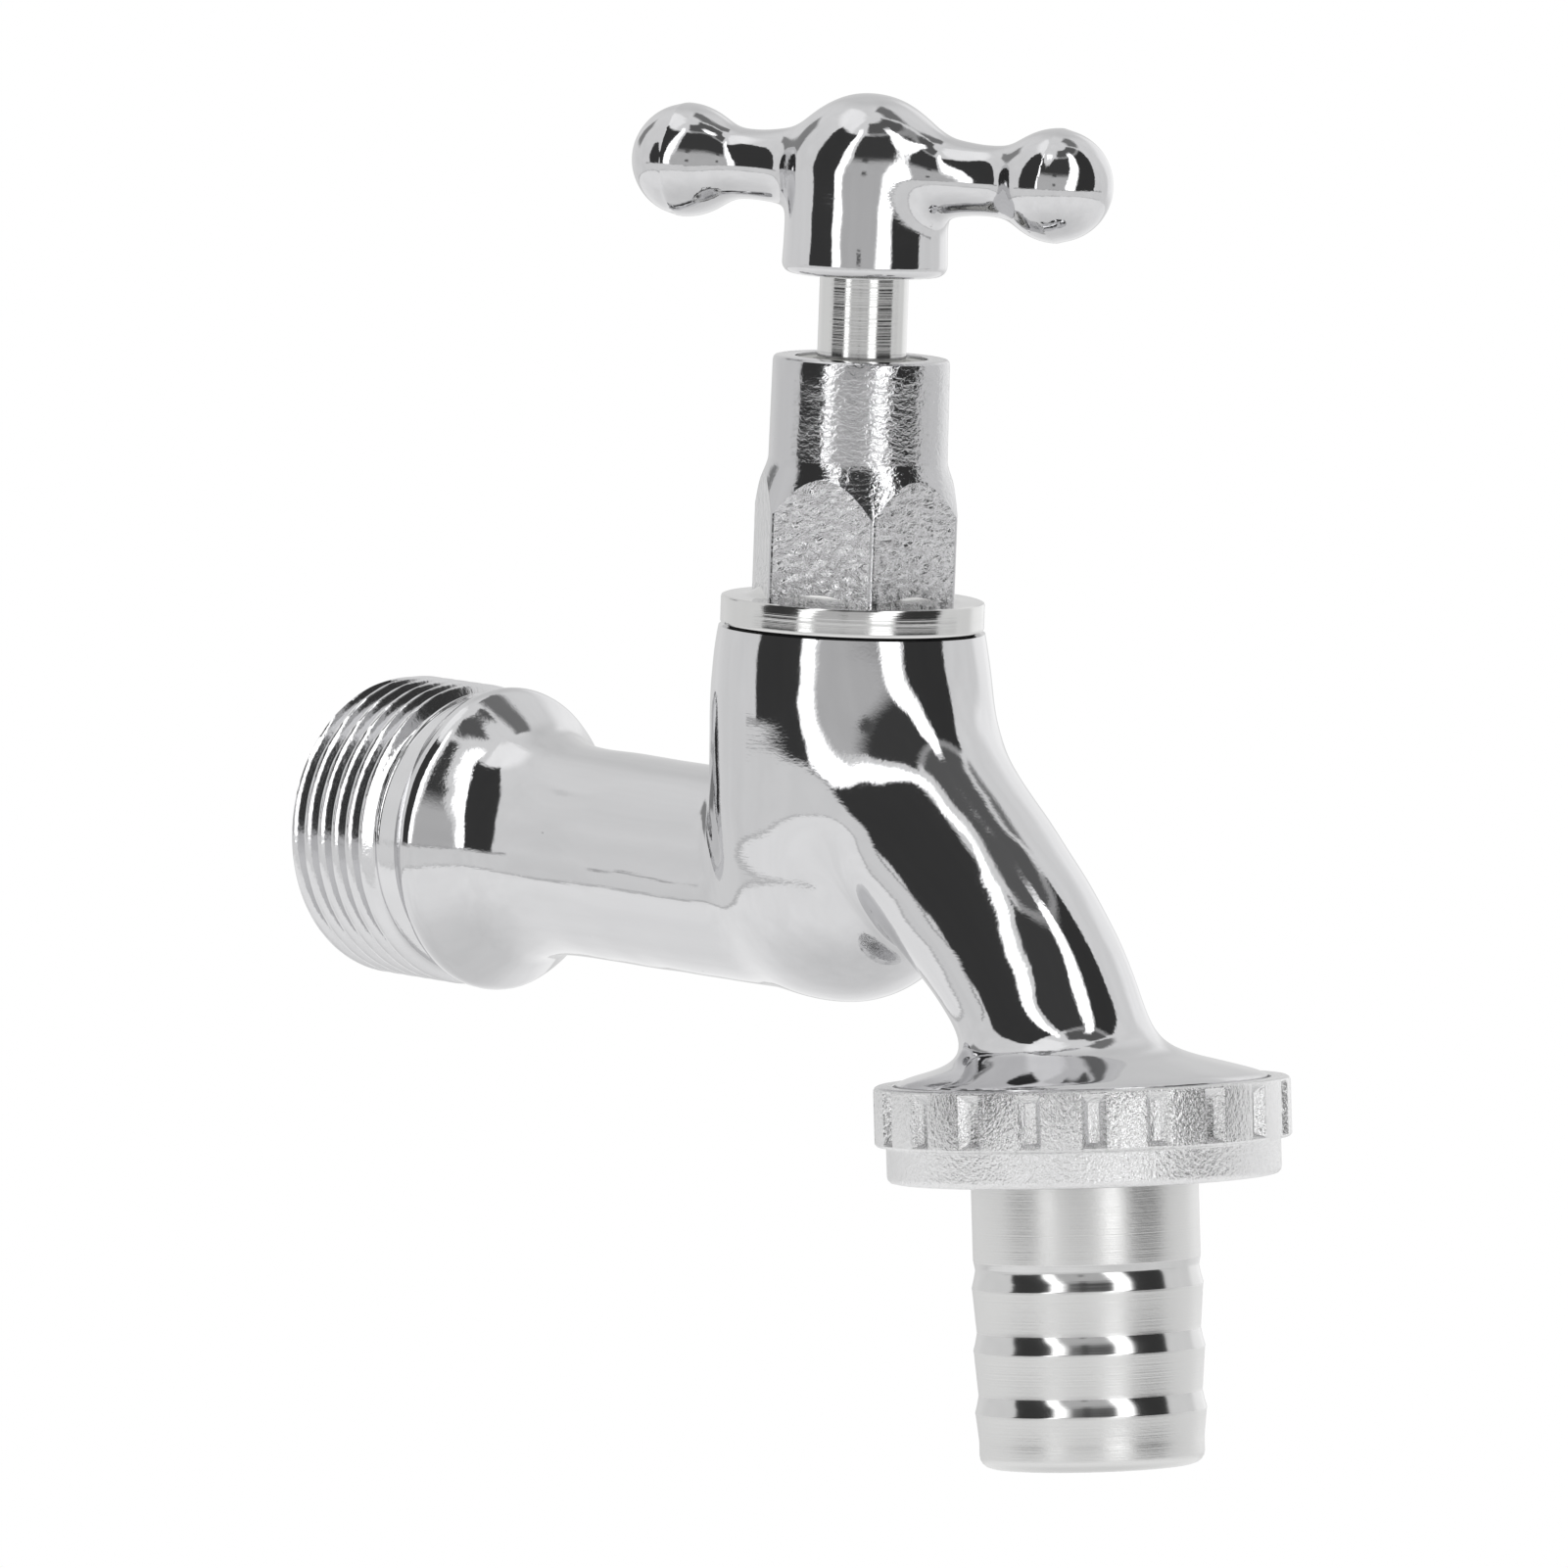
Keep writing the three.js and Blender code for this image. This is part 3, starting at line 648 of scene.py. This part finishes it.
def field_normals(ob, f, tol=0.004):
    """Shading normals from the implicit surface where a corner lies on it, and from its own face elsewhere."""
    me = ob.data
    nv, nl = len(me.vertices), len(me.loops)
    co = np.empty(nv * 3)
    me.vertices.foreach_get("co", co)
    co = co.reshape(-1, 3) / MM
    fv = f(co)
    on = np.abs(fv) < tol
    g = np.zeros_like(co)
    g[on] = gradient(f, co[on])
    g /= np.maximum(np.linalg.norm(g, axis=1, keepdims=True), 1e-9)
    lv = np.empty(nl, np.int32)
    me.loops.foreach_get("vertex_index", lv)
    for p in me.polygons:
        p.use_smooth = True
    me.set_sharp_from_angle(angle=math.radians(25))
    auto = np.empty(nl * 3, np.float32)
    me.corner_normals.foreach_get("vector", auto)
    auto = auto.reshape(-1, 3).astype(float)
    starts = np.empty(len(me.polygons), np.int32)
    totals = np.empty(len(me.polygons), np.int32)
    me.polygons.foreach_get("loop_start", starts)
    me.polygons.foreach_get("loop_total", totals)
    pn = np.empty(len(me.polygons) * 3, np.float32)
    me.polygons.foreach_get("normal", pn)
    pn = np.repeat(pn.reshape(-1, 3), totals, axis=0)
    gl = g[lv]
    use = on[lv] & ((gl * pn).sum(1) > 0.9)
    out = np.where(use[:, None], gl, auto)
    me.normals_split_custom_set(out.tolist())


# ------------------------------------------------------------------ materials
def material(name):
    m = bpy.data.materials.new(name)
    m.use_nodes = True
    k = Nodes(m.node_tree)
    out = k.add("ShaderNodeOutputMaterial")
    bsdf = k.add("ShaderNodeBsdfPrincipled")
    k.l.new(bsdf.outputs[0], out.inputs["Surface"])
    tc = k.add("ShaderNodeTexCoord")
    return m, k, bsdf, tc.outputs["Object"]


def bump(k, bsdf, layers):
    """layers: (height socket, distance in metres, strength)."""
    normal = None
    for h, dist, strength in layers:
        b = k.add("ShaderNodeBump")
        k.put(b.inputs["Height"], h)
        b.inputs["Distance"].default_value = dist
        k.put(b.inputs["Strength"], strength)
        if normal is not None:
            k.l.new(normal, b.inputs["Normal"])
        normal = b.outputs["Normal"]
    k.l.new(normal, bsdf.inputs["Normal"])


def metal(name, base, rough, layers, rough_noise=0.02, rough_scale=300.0, tint=0.02, warm=0.0):
    """A plated metal: base colour with faint unevenness, roughness with faint unevenness, and bump layers."""
    m, k, bsdf, obj = material(name)
    n = k.noise(obj, 120.0, 4.0, 0.6)
    lo = [c * (1 - tint) for c in base] + [1]
    hi = [min(1, c * (1 + tint)) for c in base] + [1]
    k.put(bsdf.inputs["Base Color"], k.mix(n, lo, hi))
    bsdf.inputs["Metallic"].default_value = 1.0
    r = k.noise(obj, rough_scale, 5.0, 0.65)
    k.put(bsdf.inputs["Roughness"], k.lerp(r, max(0.0, rough - rough_noise), rough + rough_noise))
    bump(k, bsdf, layers(k, obj))
    return m


def pits(k, obj, scale, size):
    """Sparse small round hollows."""
    v = k.add("ShaderNodeTexVoronoi", feature="F1", distance="EUCLIDEAN")
    k.put(v.inputs["Vector"], obj)
    v.inputs["Scale"].default_value = scale
    v.inputs["Randomness"].default_value = 1.0
    pick = k.add("ShaderNodeSeparateColor")
    k.put(pick.inputs[0], v.outputs["Color"])
    few = k.step(pick.outputs[0], 0.86, 0.87)
    dip = k.step(v.outputs["Distance"], size * 0.4, size, 1.0, 0.0)
    return k.math("SUBTRACT", 1.0, k.math("MULTIPLY", dip, few))


def scratches(k, obj, rotation, scale=(60.0, 5200.0, 5200.0)):
    v = k.mapped(obj, scale, rotation)
    return k.noise(v, 1.0, 2.0, 0.5)


POLISHED = metal(
    "polished chrome", (0.66, 0.66, 0.67), 0.05,
    lambda k, o: [(scratches(k, o, (0.2, 0.3, 0.5)), 0.000006, 0.5), (k.noise(o, 420.0, 3.0, 0.5), 0.000016, 0.6),
                  (k.noise(o, 2600.0, 2.0, 0.5), 0.000004, 0.55), (pits(k, o, 420.0, 0.08), 0.00005, 0.7)],
    rough_noise=0.03)
THREADED = metal(
    "thread chrome", (0.70, 0.70, 0.71), 0.12,
    lambda k, o: [(k.noise(o, 1500.0, 3.0, 0.55), 0.00003, 0.7)], rough_noise=0.05, rough_scale=900.0)
def worn_side(k, obj):
    """Rough casting skin on one side of the bonnet, fading to smoother plating on the other."""
    x, y, z = k.add("ShaderNodeSeparateXYZ").outputs
    k.put(x.node.inputs[0], obj)
    u = k.math("ADD", k.math("MULTIPLY", x, 0.676), k.math("MULTIPLY", y, 0.737))
    return k.step(u, -0.0048, -0.0012, 0.22, 0.85)


CAST = metal(
    "cast chrome", (0.58, 0.58, 0.59), 0.10,
    lambda k, o: [(k.noise(k.mapped(o, (1.0, 1.0, 1.7)), 1500.0, 3.0, 0.55, 0.5), 0.00008, worn_side(k, o)), (k.noise(o, 420.0, 2.0, 0.5), 0.00008, 0.4)],
    rough_noise=0.05, rough_scale=700.0)
HEXSKIN = metal(
    "cast hexagon", (0.64, 0.64, 0.65), 0.06,
    lambda k, o: [(k.noise(k.mapped(o, (1.0, 1.0, 1.7)), 900.0, 4.0, 0.6, 0.6), 0.00034, 1.0), (k.noise(o, 3600.0, 2.0, 0.5), 0.00003, 0.6)],
    rough_noise=0.06, rough_scale=900.0)
NUT = metal(
    "nut chrome", (0.80, 0.80, 0.805), 0.18,
    lambda k, o: [(k.noise(o, 2900.0, 3.0, 0.6), 0.00013, 1.0), (k.noise(o, 900.0, 2.0, 0.5), 0.00006, 0.5)],
    rough_noise=0.08, rough_scale=1500.0)


def turned_rings(k, obj, per_metre, axis_scale=None):
    """Fine grooves round the object's Z axis."""
    v = k.mapped(obj, (1.0, 1.0, per_metre))
    return k.noise(v, 1.0, 3.0, 0.6)


TURNED = metal(
    "turned chrome", (0.68, 0.68, 0.675), 0.11,
    lambda k, o: [(turned_rings(k, o, 4200.0), 0.000026, 0.9), (k.noise(o, 1800.0, 2.0, 0.5), 0.00001, 0.4)],
    rough_noise=0.05)
SATIN = metal(
    "satin metal", (0.73, 0.73, 0.725), 0.33,
    lambda k, o: [(turned_rings(k, o, 6500.0), 0.00003, 0.7), (k.noise(o, 4000.0, 2.0, 0.5), 0.00001, 0.5)],
    rough_noise=0.06, rough_scale=1500.0)
CONE = metal(
    "polished cones", (0.66, 0.66, 0.66), 0.13,
    lambda k, o: [(turned_rings(k, o, 6500.0), 0.00001, 0.5)], rough_noise=0.04)
BRASS = metal("brass", (0.72, 0.55, 0.24), 0.25, lambda k, o: [(turned_rings(k, o, 5000.0), 0.00002, 0.6)], rough_noise=0.06)
STEEL = metal("steel", (0.45, 0.46, 0.47), 0.3, lambda k, o: [(k.noise(o, 2500.0, 3.0, 0.6), 0.00003, 0.6)], rough_noise=0.08)


def dielectric(name, base, rough, scale):
    m, k, bsdf, obj = material(name)
    n = k.noise(obj, scale, 4.0, 0.6)
    k.put(bsdf.inputs["Base Color"], k.mix(n, [c * 0.85 for c in base] + [1], [min(1, c * 1.1) for c in base] + [1]))
    k.put(bsdf.inputs["Roughness"], k.lerp(n, rough - 0.06, rough + 0.06))
    bump(k, bsdf, [(n, 0.00002, 0.5)])
    return m


RUBBER = dielectric("black rubber", (0.02, 0.02, 0.021), 0.6, 1500.0)
PTFE = dielectric("white plastic", (0.78, 0.78, 0.75), 0.45, 1500.0)


# ------------------------------------------------------------------ tap body
def make_body():
    h = 0.42
    v, f = surface_net(body_field, (11.2, -18.2, -21.6), (108.0, 18.2, 24.6), h, relax=3)
    body = raw(v, f, "tap_body_visual")
    fix_winding(body)
    # trim: collar face, cup top, skirt rim and underside
    boolean(body, raw(*rz_cyl(20.0, -12.0, 0.0, shift=(COLLAR_X - 0.2, 0, 0), along="x")))
    boolean(body, raw(*rz_cyl(16.0, CUP_TOP, CUP_TOP + 12.0, shift=(VX, 0, 0))))
    v, f = lathe([(0, -4), (24, -4), (24, 14), (SKIRT_R, 14), (SKIRT_R, 7.95), (0, 7.95)], 256)
    boolean(body, raw(to_outlet(v), f))
    # water way
    v, f = lathe([(0, 10), (9.6, 10), (9.6, 12.6), (6.3, 16.4), (6.3, 55.5), (4.4, 60.0), (0, 61.6)], 96)
    boolean(body, raw(along_x(v), f))
    v, f = lathe([(0, 8.67), (5.6, 8.67), (5.9, 7.7), (8.5, 7.7), (9.0, 8.3), (9.0, 14.9), (9.5, 15.5), (9.5, SEAT_Z), (10.68, SEAT_Z), (10.68, 24), (0, 24)], 128)
    boolean(body, raw(v + [VX, 0, 0], f))
    v, f = lathe([(0, 0), (4.0, 0), (4.0, 9.5), (0, 9.5)], 64)
    boolean(body, raw(v + [VX, 0, 0], f))
    v, f = sweep([(64.0, 13.0), (66.8, 9.2), (71.3, 4.9), (76.4, 0.8), (80.7, -3.2), (83.6, -6.6), (85.5, -9.6), (87.0, -13.4)],
                 [4.6, 4.9, 5.2, 5.4, 5.4, 5.4, 5.5, 5.6])
    boolean(body, raw(v, f))
    v, f = lathe([(0, 3.7), (9.5, 3.7), (9.5, 8.6), (0, 8.6)], 96)
    boolean(body, raw(to_outlet(v), f))
    field_normals(body, body_field)
    body.data.materials.clear()
    body.data.materials.append(POLISHED)
    body.data.materials.append(THREADED)
    for p in body.data.polygons:
        p.material_index = 0
    # wall thread: a helix on a tube with the inlet bore
    v, f = male_thread(0.0, 13.6, lambda z: 9.6 if z < 12.6 else 9.6 - (z - 12.6) * 0.87, CREST_X, (CREST_X + 0.25, CREST_X + 1.1), 12.33, 0.85)
    wall = raw(along_x(v), f, "wall thread")
    fix_winding(wall)
    wall.data.materials.append(POLISHED)
    wall.data.materials.append(THREADED)
    for p in wall.data.polygons:
        p.use_smooth = True
        p.material_index = 1
    wall.data.set_sharp_from_angle(angle=math.radians(40))
    # outlet spigot with its thread
    v, f = male_thread(4.75, 8.3, lambda z: 9.5, 6.7, (6.8, 7.3), 12.3, 0.6)
    spigot = raw(to_outlet(v), f, "spigot")
    fix_winding(spigot)
    spigot.data.materials.append(POLISHED)
    spigot.data.materials.append(THREADED)
    for p in spigot.data.polygons:
        p.use_smooth = True
        p.material_index = 1
    spigot.data.set_sharp_from_angle(angle=math.radians(40))
    ob = joined([body, wall, spigot], "tap_body_visual")
    finish_object(ob, [POLISHED, THREADED], "tap", ("tap_body",))
    return ob


def rz_cyl(r, z0, z1, shift=(0, 0, 0), along="z", n=192):
    v, f = lathe([(0, z0), (r, z0), (r, z1), (0, z1)], n)
    if along == "x":
        v = along_x(v)
    return v + np.array(shift), f


# ------------------------------------------------------------------ bonnet
def rounded_polygon(af, sides, corner_deg, r, per=5):
    """Vertices of a regular polygon with rounded corners."""
    R = af / 2 / math.cos(math.pi / sides)
    out = []
    for i in range(sides):
        a = math.radians(corner_deg + i * 360 / sides)
        c = (R - r / math.cos(math.pi / sides))
        for j in range(per + 1):
            b = a + (j / per - 0.5) * 2 * math.pi / sides
            out.append((c * math.cos(a) + r * math.cos(b), c * math.sin(a) + r * math.sin(b)))
    return out


def prism(poly, z0, z1, steps=24):
    n = len(poly)
    zs = np.linspace(z0, z1, steps + 1)
    verts = [(x, y, z) for z in zs for x, y in poly]
    faces = [tuple(range(n))[::-1], tuple(range(steps * n, (steps + 1) * n))]
    for i in range(steps):
        for j in range(n):
            k = (j + 1) % n
            faces.append((i * n + j, i * n + k, (i + 1) * n + k, (i + 1) * n + j))
    return np.array(verts), faces


def make_bonnet():
    hexa = raw(*prism(rounded_polygon(HEX_AF + 0.12, 6, HEX_DEG, 0.55), FL_Z1 - 0.6, 37.6, 40), "hex")
    v, f = lathe([(0, 20), (9.27, 20), (9.27, 32.65), (8.03, 36.0), (7.84, 36.5), (7.72, 36.9), (7.66, 37.25), (7.2, 37.4), (0, 37.4)], 192)
    boolean(hexa, raw(v, f), "INTERSECT")
    prof = [(6.15, 15.8), (8.8, 15.8), (9.3, 16.3), (9.3, 21.8), (8.4, 22.0), (8.4, FL_Z0), (FL_R - 0.25, FL_Z0), (FL_R - 0.06, FL_Z0 + 0.08), (FL_R, FL_Z0 + 0.25)]
    # faint turning marks on the flange
    rng = np.random.RandomState(5)
    for i, z in enumerate(np.linspace(FL_Z0 + 0.4, FL_Z1 - 0.75, 15)):
        prof.append((FL_R - 0.016 * rng.rand(), z))
    prof += [(FL_R, FL_Z1 - 0.25), (FL_R - 0.06, FL_Z1 - 0.08), (FL_R - 0.25, FL_Z1), (9.7, FL_Z1 + 0.01), (9.2, FL_Z1 + 0.08), (8.8, FL_Z1 + 0.22), (8.45, FL_Z1 + 0.42), (8.2, FL_Z1 + 0.62),
             (8.0, FL_Z1 + 0.85), (7.9, FL_Z1 + 1.1), (BON_R + 0.1, FL_Z1 + 1.4), (BON_R + 0.1, 36.0)]
    prof += [(BON_R + 0.06, 40.0), (BON_R + 0.02, 44.0), (BON_R, BON_TOP - 0.45), (BON_R - 0.06, BON_TOP - 0.2), (BON_R - 0.2, BON_TOP - 0.05), (BON_R - 0.45, BON_TOP)]
    prof += [(5.75, BON_TOP), (5.7, BON_TOP - 0.06), (5.7, 44.3), (4.05, 44.3), (4.05, 36.5), (6.15, 35.7)]
    core = raw(*lathe(prof, 256), "core")
    fix_winding(core)
    fix_winding(hexa)
    bore = raw(*rz_cyl(6.6, 10.0, 50.0))
    boolean(hexa, bore)
    for o in (core, hexa):
        for p in o.data.polygons:
            p.use_smooth = True
        o.data.set_sharp_from_angle(angle=math.radians(22))
        o.data.materials.clear()
        o.data.materials.append(CAST)
        o.data.materials.append(TURNED)
        o.data.materials.append(HEXSKIN)
    for p in core.data.polygons:
        p.material_index = 1 if p.center.z / MM < FL_Z1 + 1.3 else 0
    for p in hexa.data.polygons:
        flat = abs(p.normal.z) < 0.05 and math.hypot(p.center.x, p.center.y) / MM < 9.1
        p.material_index = 2 if flat else 0
    ob = joined([core, hexa], "bonnet_visual")
    finish_object(ob, [CAST, TURNED, HEXSKIN], "tap", ("bonnet",), frame_=VALVE)
    return ob


def make_valve_rings():
    def ring(name, mat, body, node, slot, prof, frame_, n=160):
        ob = raw(*lathe(prof, n), name)
        fix_winding(ob)
        finish_object(ob, mat, body, (node,), smooth=35, frame_=frame_)
        return ob
    ring("gasket_visual", RUBBER, "tap", "bonnet_gasket", "rubber",
         [(9.85, 22.26), (9.95, 22.2), (10.5, 22.2), (10.58, 22.28), (10.58, 22.64), (10.5, 22.74), (9.95, 22.74), (9.85, 22.68)], VALVE)
    ring("gland_visual", PTFE, "tap", "gland_ring", "ptfe",
         [(4.02, 44.6), (4.12, 44.45), (5.4, 44.45), (5.55, 44.6), (5.55, 45.55), (5.4, 45.7), (4.25, 45.7), (4.02, 45.45)], VALVE)
    ring("washer_visual", RUBBER, "hose_tail", "tail_washer", "rubber",
         [(8.0, 3.05), (8.1, 2.95), (12.8, 2.95), (12.9, 3.05), (12.9, 4.4), (12.8, 4.5), (8.1, 4.5), (8.0, 4.4)], OUTLET)
    ring("jumper_visual", BRASS, "jumper", "jumper", "brass",
         [(0, 11.5), (1.25, 11.5), (1.55, 11.8), (1.55, 15.9), (5.4, 15.9), (5.7, 16.2), (5.7, 17.15), (5.4, 17.45), (1.95, 17.45), (1.95, 23.1), (1.65, 23.4), (0, 23.4)], VALVE, 96)
    ring("tap_washer_visual", RUBBER, "jumper", "tap_washer", "rubber",
         [(1.75, 13.9), (1.85, 13.8), (5.3, 13.8), (5.5, 14.0), (5.5, 15.6), (5.35, 15.75), (1.85, 15.75), (1.75, 15.65)], VALVE, 96)
    for name, z in (("spindle_oring_lower", 41.3), ("spindle_oring_upper", 43.25)):
        prof = [(3.4 + 0.58 * math.cos(a), z + 0.58 * math.sin(a)) for a in np.arange(20) * 2 * math.pi / 20]
        ring(name + "_visual", RUBBER, "spindle", name, "rubber", prof, VALVE, 96)
    nut = raw(*prism(rounded_polygon(5.4, 6, 30, 0.25), 12.1, 13.6, 2), "washer_nut_visual")
    boolean(nut, raw(*rz_cyl(1.75, 11.0, 15.0, n=64)))
    finish_object(nut, BRASS, "jumper", ("washer_nut",), smooth=30, frame_=VALVE)


def make_spindle():
    prof = [(2.15, 17.7), (4.3, 17.7), (4.65, 18.05), (4.65, 24.1), (3.75, 24.4), (3.75, 25.1), (5.0, 25.4)]
    z = 25.6
    while z < 33.0:                                # square-cut operating thread, as rings
        prof += [(5.1, z), (5.75, z + 0.15), (5.75, z + 0.55), (5.1, z + 0.7)]
        z += 1.3
    prof += [(5.1, 33.9), (STEM_R, 33.9), (STEM_R, 40.5), (2.7, 40.5), (2.7, 42.1), (STEM_R, 42.1), (STEM_R, 42.5), (2.7, 42.5), (2.7, 44.0), (STEM_R, 44.0)]
    rng = np.random.RandomState(8)
    for zz in np.arange(44.6, 53.0, 0.35):
        prof.append((STEM_R - 0.014 * rng.rand(), zz))
    prof += [(STEM_R, 53.2), (STEM_R, 62.2), (3.2, 63.0), (0, 63.0), (0, 24.5), (2.15, 23.8)]
    ob = raw(*lathe(prof, 192), "spindle_visual")
    fix_winding(ob)
    finish_object(ob, TURNED, "spindle", ("spindle",), smooth=30, frame_=VALVE)


# ------------------------------------------------------------------ handle
def neck_radius(u):
    return np.interp(u, NECK_U, NECK_V)


NECK_U, NECK_V = spline_table(np.array([[0, 4.4], [4.5, 4.2], [5.8, 3.88], [7.3, 3.45], [8.8, 3.18], [10.3, 3.03], [11.6, 3.02], [12.8, 3.12], [13.9, 3.35], [15.0, 3.7], [17.4, 4.2]]), 600)
ZC = HUB_Z1 - HUB_R


def handle_field(p):
    x, y, z = p[:, 0], p[:, 1], p[:, 2]
    q = np.hypot(x, y)
    # hub: a plain boss, faintly wider below, with a rounded lower edge and a domed top
    wall = HUB_R + 0.13 * np.clip((ZC - z) / 8.6, 0, 1) + 0.05 * smoothstep(-z, -56.0, -53.2)
    e = 0.95
    dx, dz = q - (wall - e), (HUB_Z0 + e) - z
    boss = np.minimum(np.maximum(dx, dz), 0) + np.hypot(np.maximum(dx, 0), np.maximum(dz, 0)) - e
    up = np.maximum(z - ZC, 0)
    dome = np.sqrt(q * q + up * up) - HUB_R
    hub = np.where(z > ZC, dome, boss)
    t = math.radians(BAR_TILT)
    u = x * math.cos(t) - (z - BAR_Z) * math.sin(t)
    w = x * math.sin(t) + (z - BAR_Z) * math.cos(t)
    u = u - 0.31
    au = np.abs(u)
    rho = np.hypot(y, w)
    neck = np.maximum(rho - neck_radius(au), au - 17.0)
    ball = np.sqrt((au - BALL_OUT) ** 2 + rho * rho) - BALL_R
    f = smin(neck, ball, 1.9)
    f = smin(hub, f, 2.4)
    return f + waviness(p, 11, 6.0, 0.016) + waviness(p, 12, 2.5, 0.005)


def make_handle():
    h = 0.3
    v, f = surface_net(handle_field, (-23.0, -7.8, 52.4), (23.3, 7.8, 69.4), h, relax=3)
    ob = raw(v, f, "handle_visual")
    fix_winding(ob)
    boolean(ob, raw(*lathe([(0, 50), (4.3, 50), (4.3, 53.25), (4.0, 53.5), (4.0, 63.4), (0, 63.4)], 128)))
    v, f = lathe([(0, 0), (1.95, 0), (1.95, 10), (0, 10)], 64)
    v = np.stack([v[:, 0], v[:, 2], -v[:, 1]], 1) + [0, 0, SCREW_Z]
    boolean(ob, raw(v, f))
    field_normals(ob, handle_field)
    finish_object(ob, POLISHED, "spindle", ("handle",), frame_=BAR)
    # grub screw
    v, f = lathe([(0, 4.15), (1.2, 4.15), (1.75, 4.65), (1.75, 6.35), (1.55, 6.6), (0, 6.6)], 64)
    screw = raw(v, f, "handle_screw_visual")
    fix_winding(screw)
    boolean(screw, raw(*prism(rounded_polygon(1.6, 6, 0, 0.08), 5.3, 8.0, 2)))
    co = np.array([q.co[:] for q in screw.data.vertices])
    co = np.stack([co[:, 0], co[:, 2], -co[:, 1] + SCREW_Z * MM], 1)
    screw.data.vertices.foreach_set("co", co.ravel())
    screw.data.update()
    finish_object(screw, STEEL, "spindle", ("handle_screw",), smooth=30, frame_=BAR)


# ------------------------------------------------------------------ union nut and hose tail
def make_nut():
    prof = [(10.1, 0.15), (10.25, 0), (NUT_LOW_R - 0.6, 0), (NUT_LOW_R - 0.25, 0.08), (NUT_LOW_R - 0.06, 0.3), (NUT_LOW_R, 0.6), (NUT_LOW_R, NUT_STEP - 0.15),
            (NUT_LOW_R + 0.12, NUT_STEP), (NUT_R - 0.15, NUT_STEP + 0.05), (NUT_R, NUT_STEP + 0.25), (NUT_R, NUT_H - 0.35), (NUT_R - 0.12, NUT_H - 0.12), (NUT_R - 0.33, NUT_H),
            (16.08, NUT_H), (16.0, NUT_H - 0.08), (16.0, NUT_H - 0.6), (15.3, NUT_H - 0.65), (14.3, NUT_H - 1.3), (13.5, NUT_H - 1.9), (13.5, 1.3), (10.1, 1.3)]
    nut = raw(*lathe(prof, 240), "union_nut_visual")
    fix_winding(nut)
    # one groove: a tapered pocket, closed by a sloping end under the top rim, cut twenty times
    verts, faces = [], []
    for i in range(20):
        a = math.radians(-40.3 + i * 18.0)
        base = len(verts)
        for rr, w, s0, s1 in ((16.78, 0.45, NUT_STEP + 0.75, NUT_H - 1.0), (18.4, 1.61, NUT_STEP - 0.1, NUT_H + 0.56)):
            for yy, ss in ((-w, s0), (w, s0), (w, s1), (-w, s1)):
                verts.append((rr * math.cos(a) - yy * math.sin(a), rr * math.sin(a) + yy * math.cos(a), ss))
        faces += [tuple(base + q for q in (3, 2, 1, 0)), tuple(base + q for q in (4, 5, 6, 7))]
        for q in range(4):
            t = (q + 1) % 4
            faces.append((base + q, base + t, base + 4 + t, base + 4 + q))
    cut = raw(verts, faces)
    fix_winding(cut)
    boolean(nut, cut)
    b = nut.modifiers.new("bevel", "BEVEL")
    b.width = 0.16 * MM
    b.segments = 2
    b.limit_method = "ANGLE"
    b.angle_limit = math.radians(38)
    b.harden_normals = False
    bpy.context.view_layer.update()
    me = bpy.data.meshes.new_from_object(nut.evaluated_get(bpy.context.evaluated_depsgraph_get()))
    nut.modifiers.clear()
    nut.data = me
    finish_object(nut, NUT, "union_nut", ("union_nut",), smooth=32, frame_=OUTLET)


def make_tail():
    prof = [(7.3, 2.75), (12.7, 2.75), (12.9, 2.6), (12.9, 1.6), (12.75, 1.45), (9.75, 1.45), (9.62, 1.3), (9.62, -6.7), (9.6, -6.86), (9.5, -7.35), (9.46, -7.6),
            (9.62, -8.4), (9.78, -9.0), (9.8, -9.1), (9.76, -9.3), (9.5, -12.5), (9.46, -12.87), (9.62, -13.7), (9.78, -14.3), (9.8, -14.4), (9.76, -14.6), (9.5, -17.8), (9.46, -18.14),
            (9.62, -18.95), (9.78, -19.55), (9.8, -19.64), (9.76, -19.85), (9.54, -21.8), (9.52, -22.1), (9.52, -23.3), (9.44, -23.65), (9.25, -23.95), (8.95, -24.18), (8.6, -24.3), (7.5, -24.3), (7.3, -24.1)]
    ob = raw(*lathe(prof, 256), "hose_tail_visual")
    fix_winding(ob)
    ob.data.materials.append(SATIN)
    ob.data.materials.append(CONE)
    for p in ob.data.polygons:
        z = p.center.z / MM
        r = math.hypot(p.center.x, p.center.y) / MM
        cone = r > 9.3 and any(a < z < b for a, b in ((-9.12, -6.9), (-14.42, -12.8), (-19.66, -18.1)))
        p.material_index = 1 if cone else 0
    finish_object(ob, [SATIN, CONE], "hose_tail", ("hose_tail",), smooth=30, frame_=OUTLET)


make_body()
make_bonnet()
make_valve_rings()
make_spindle()
make_handle()
make_nut()
make_tail()

bpy.context.view_layer.update()
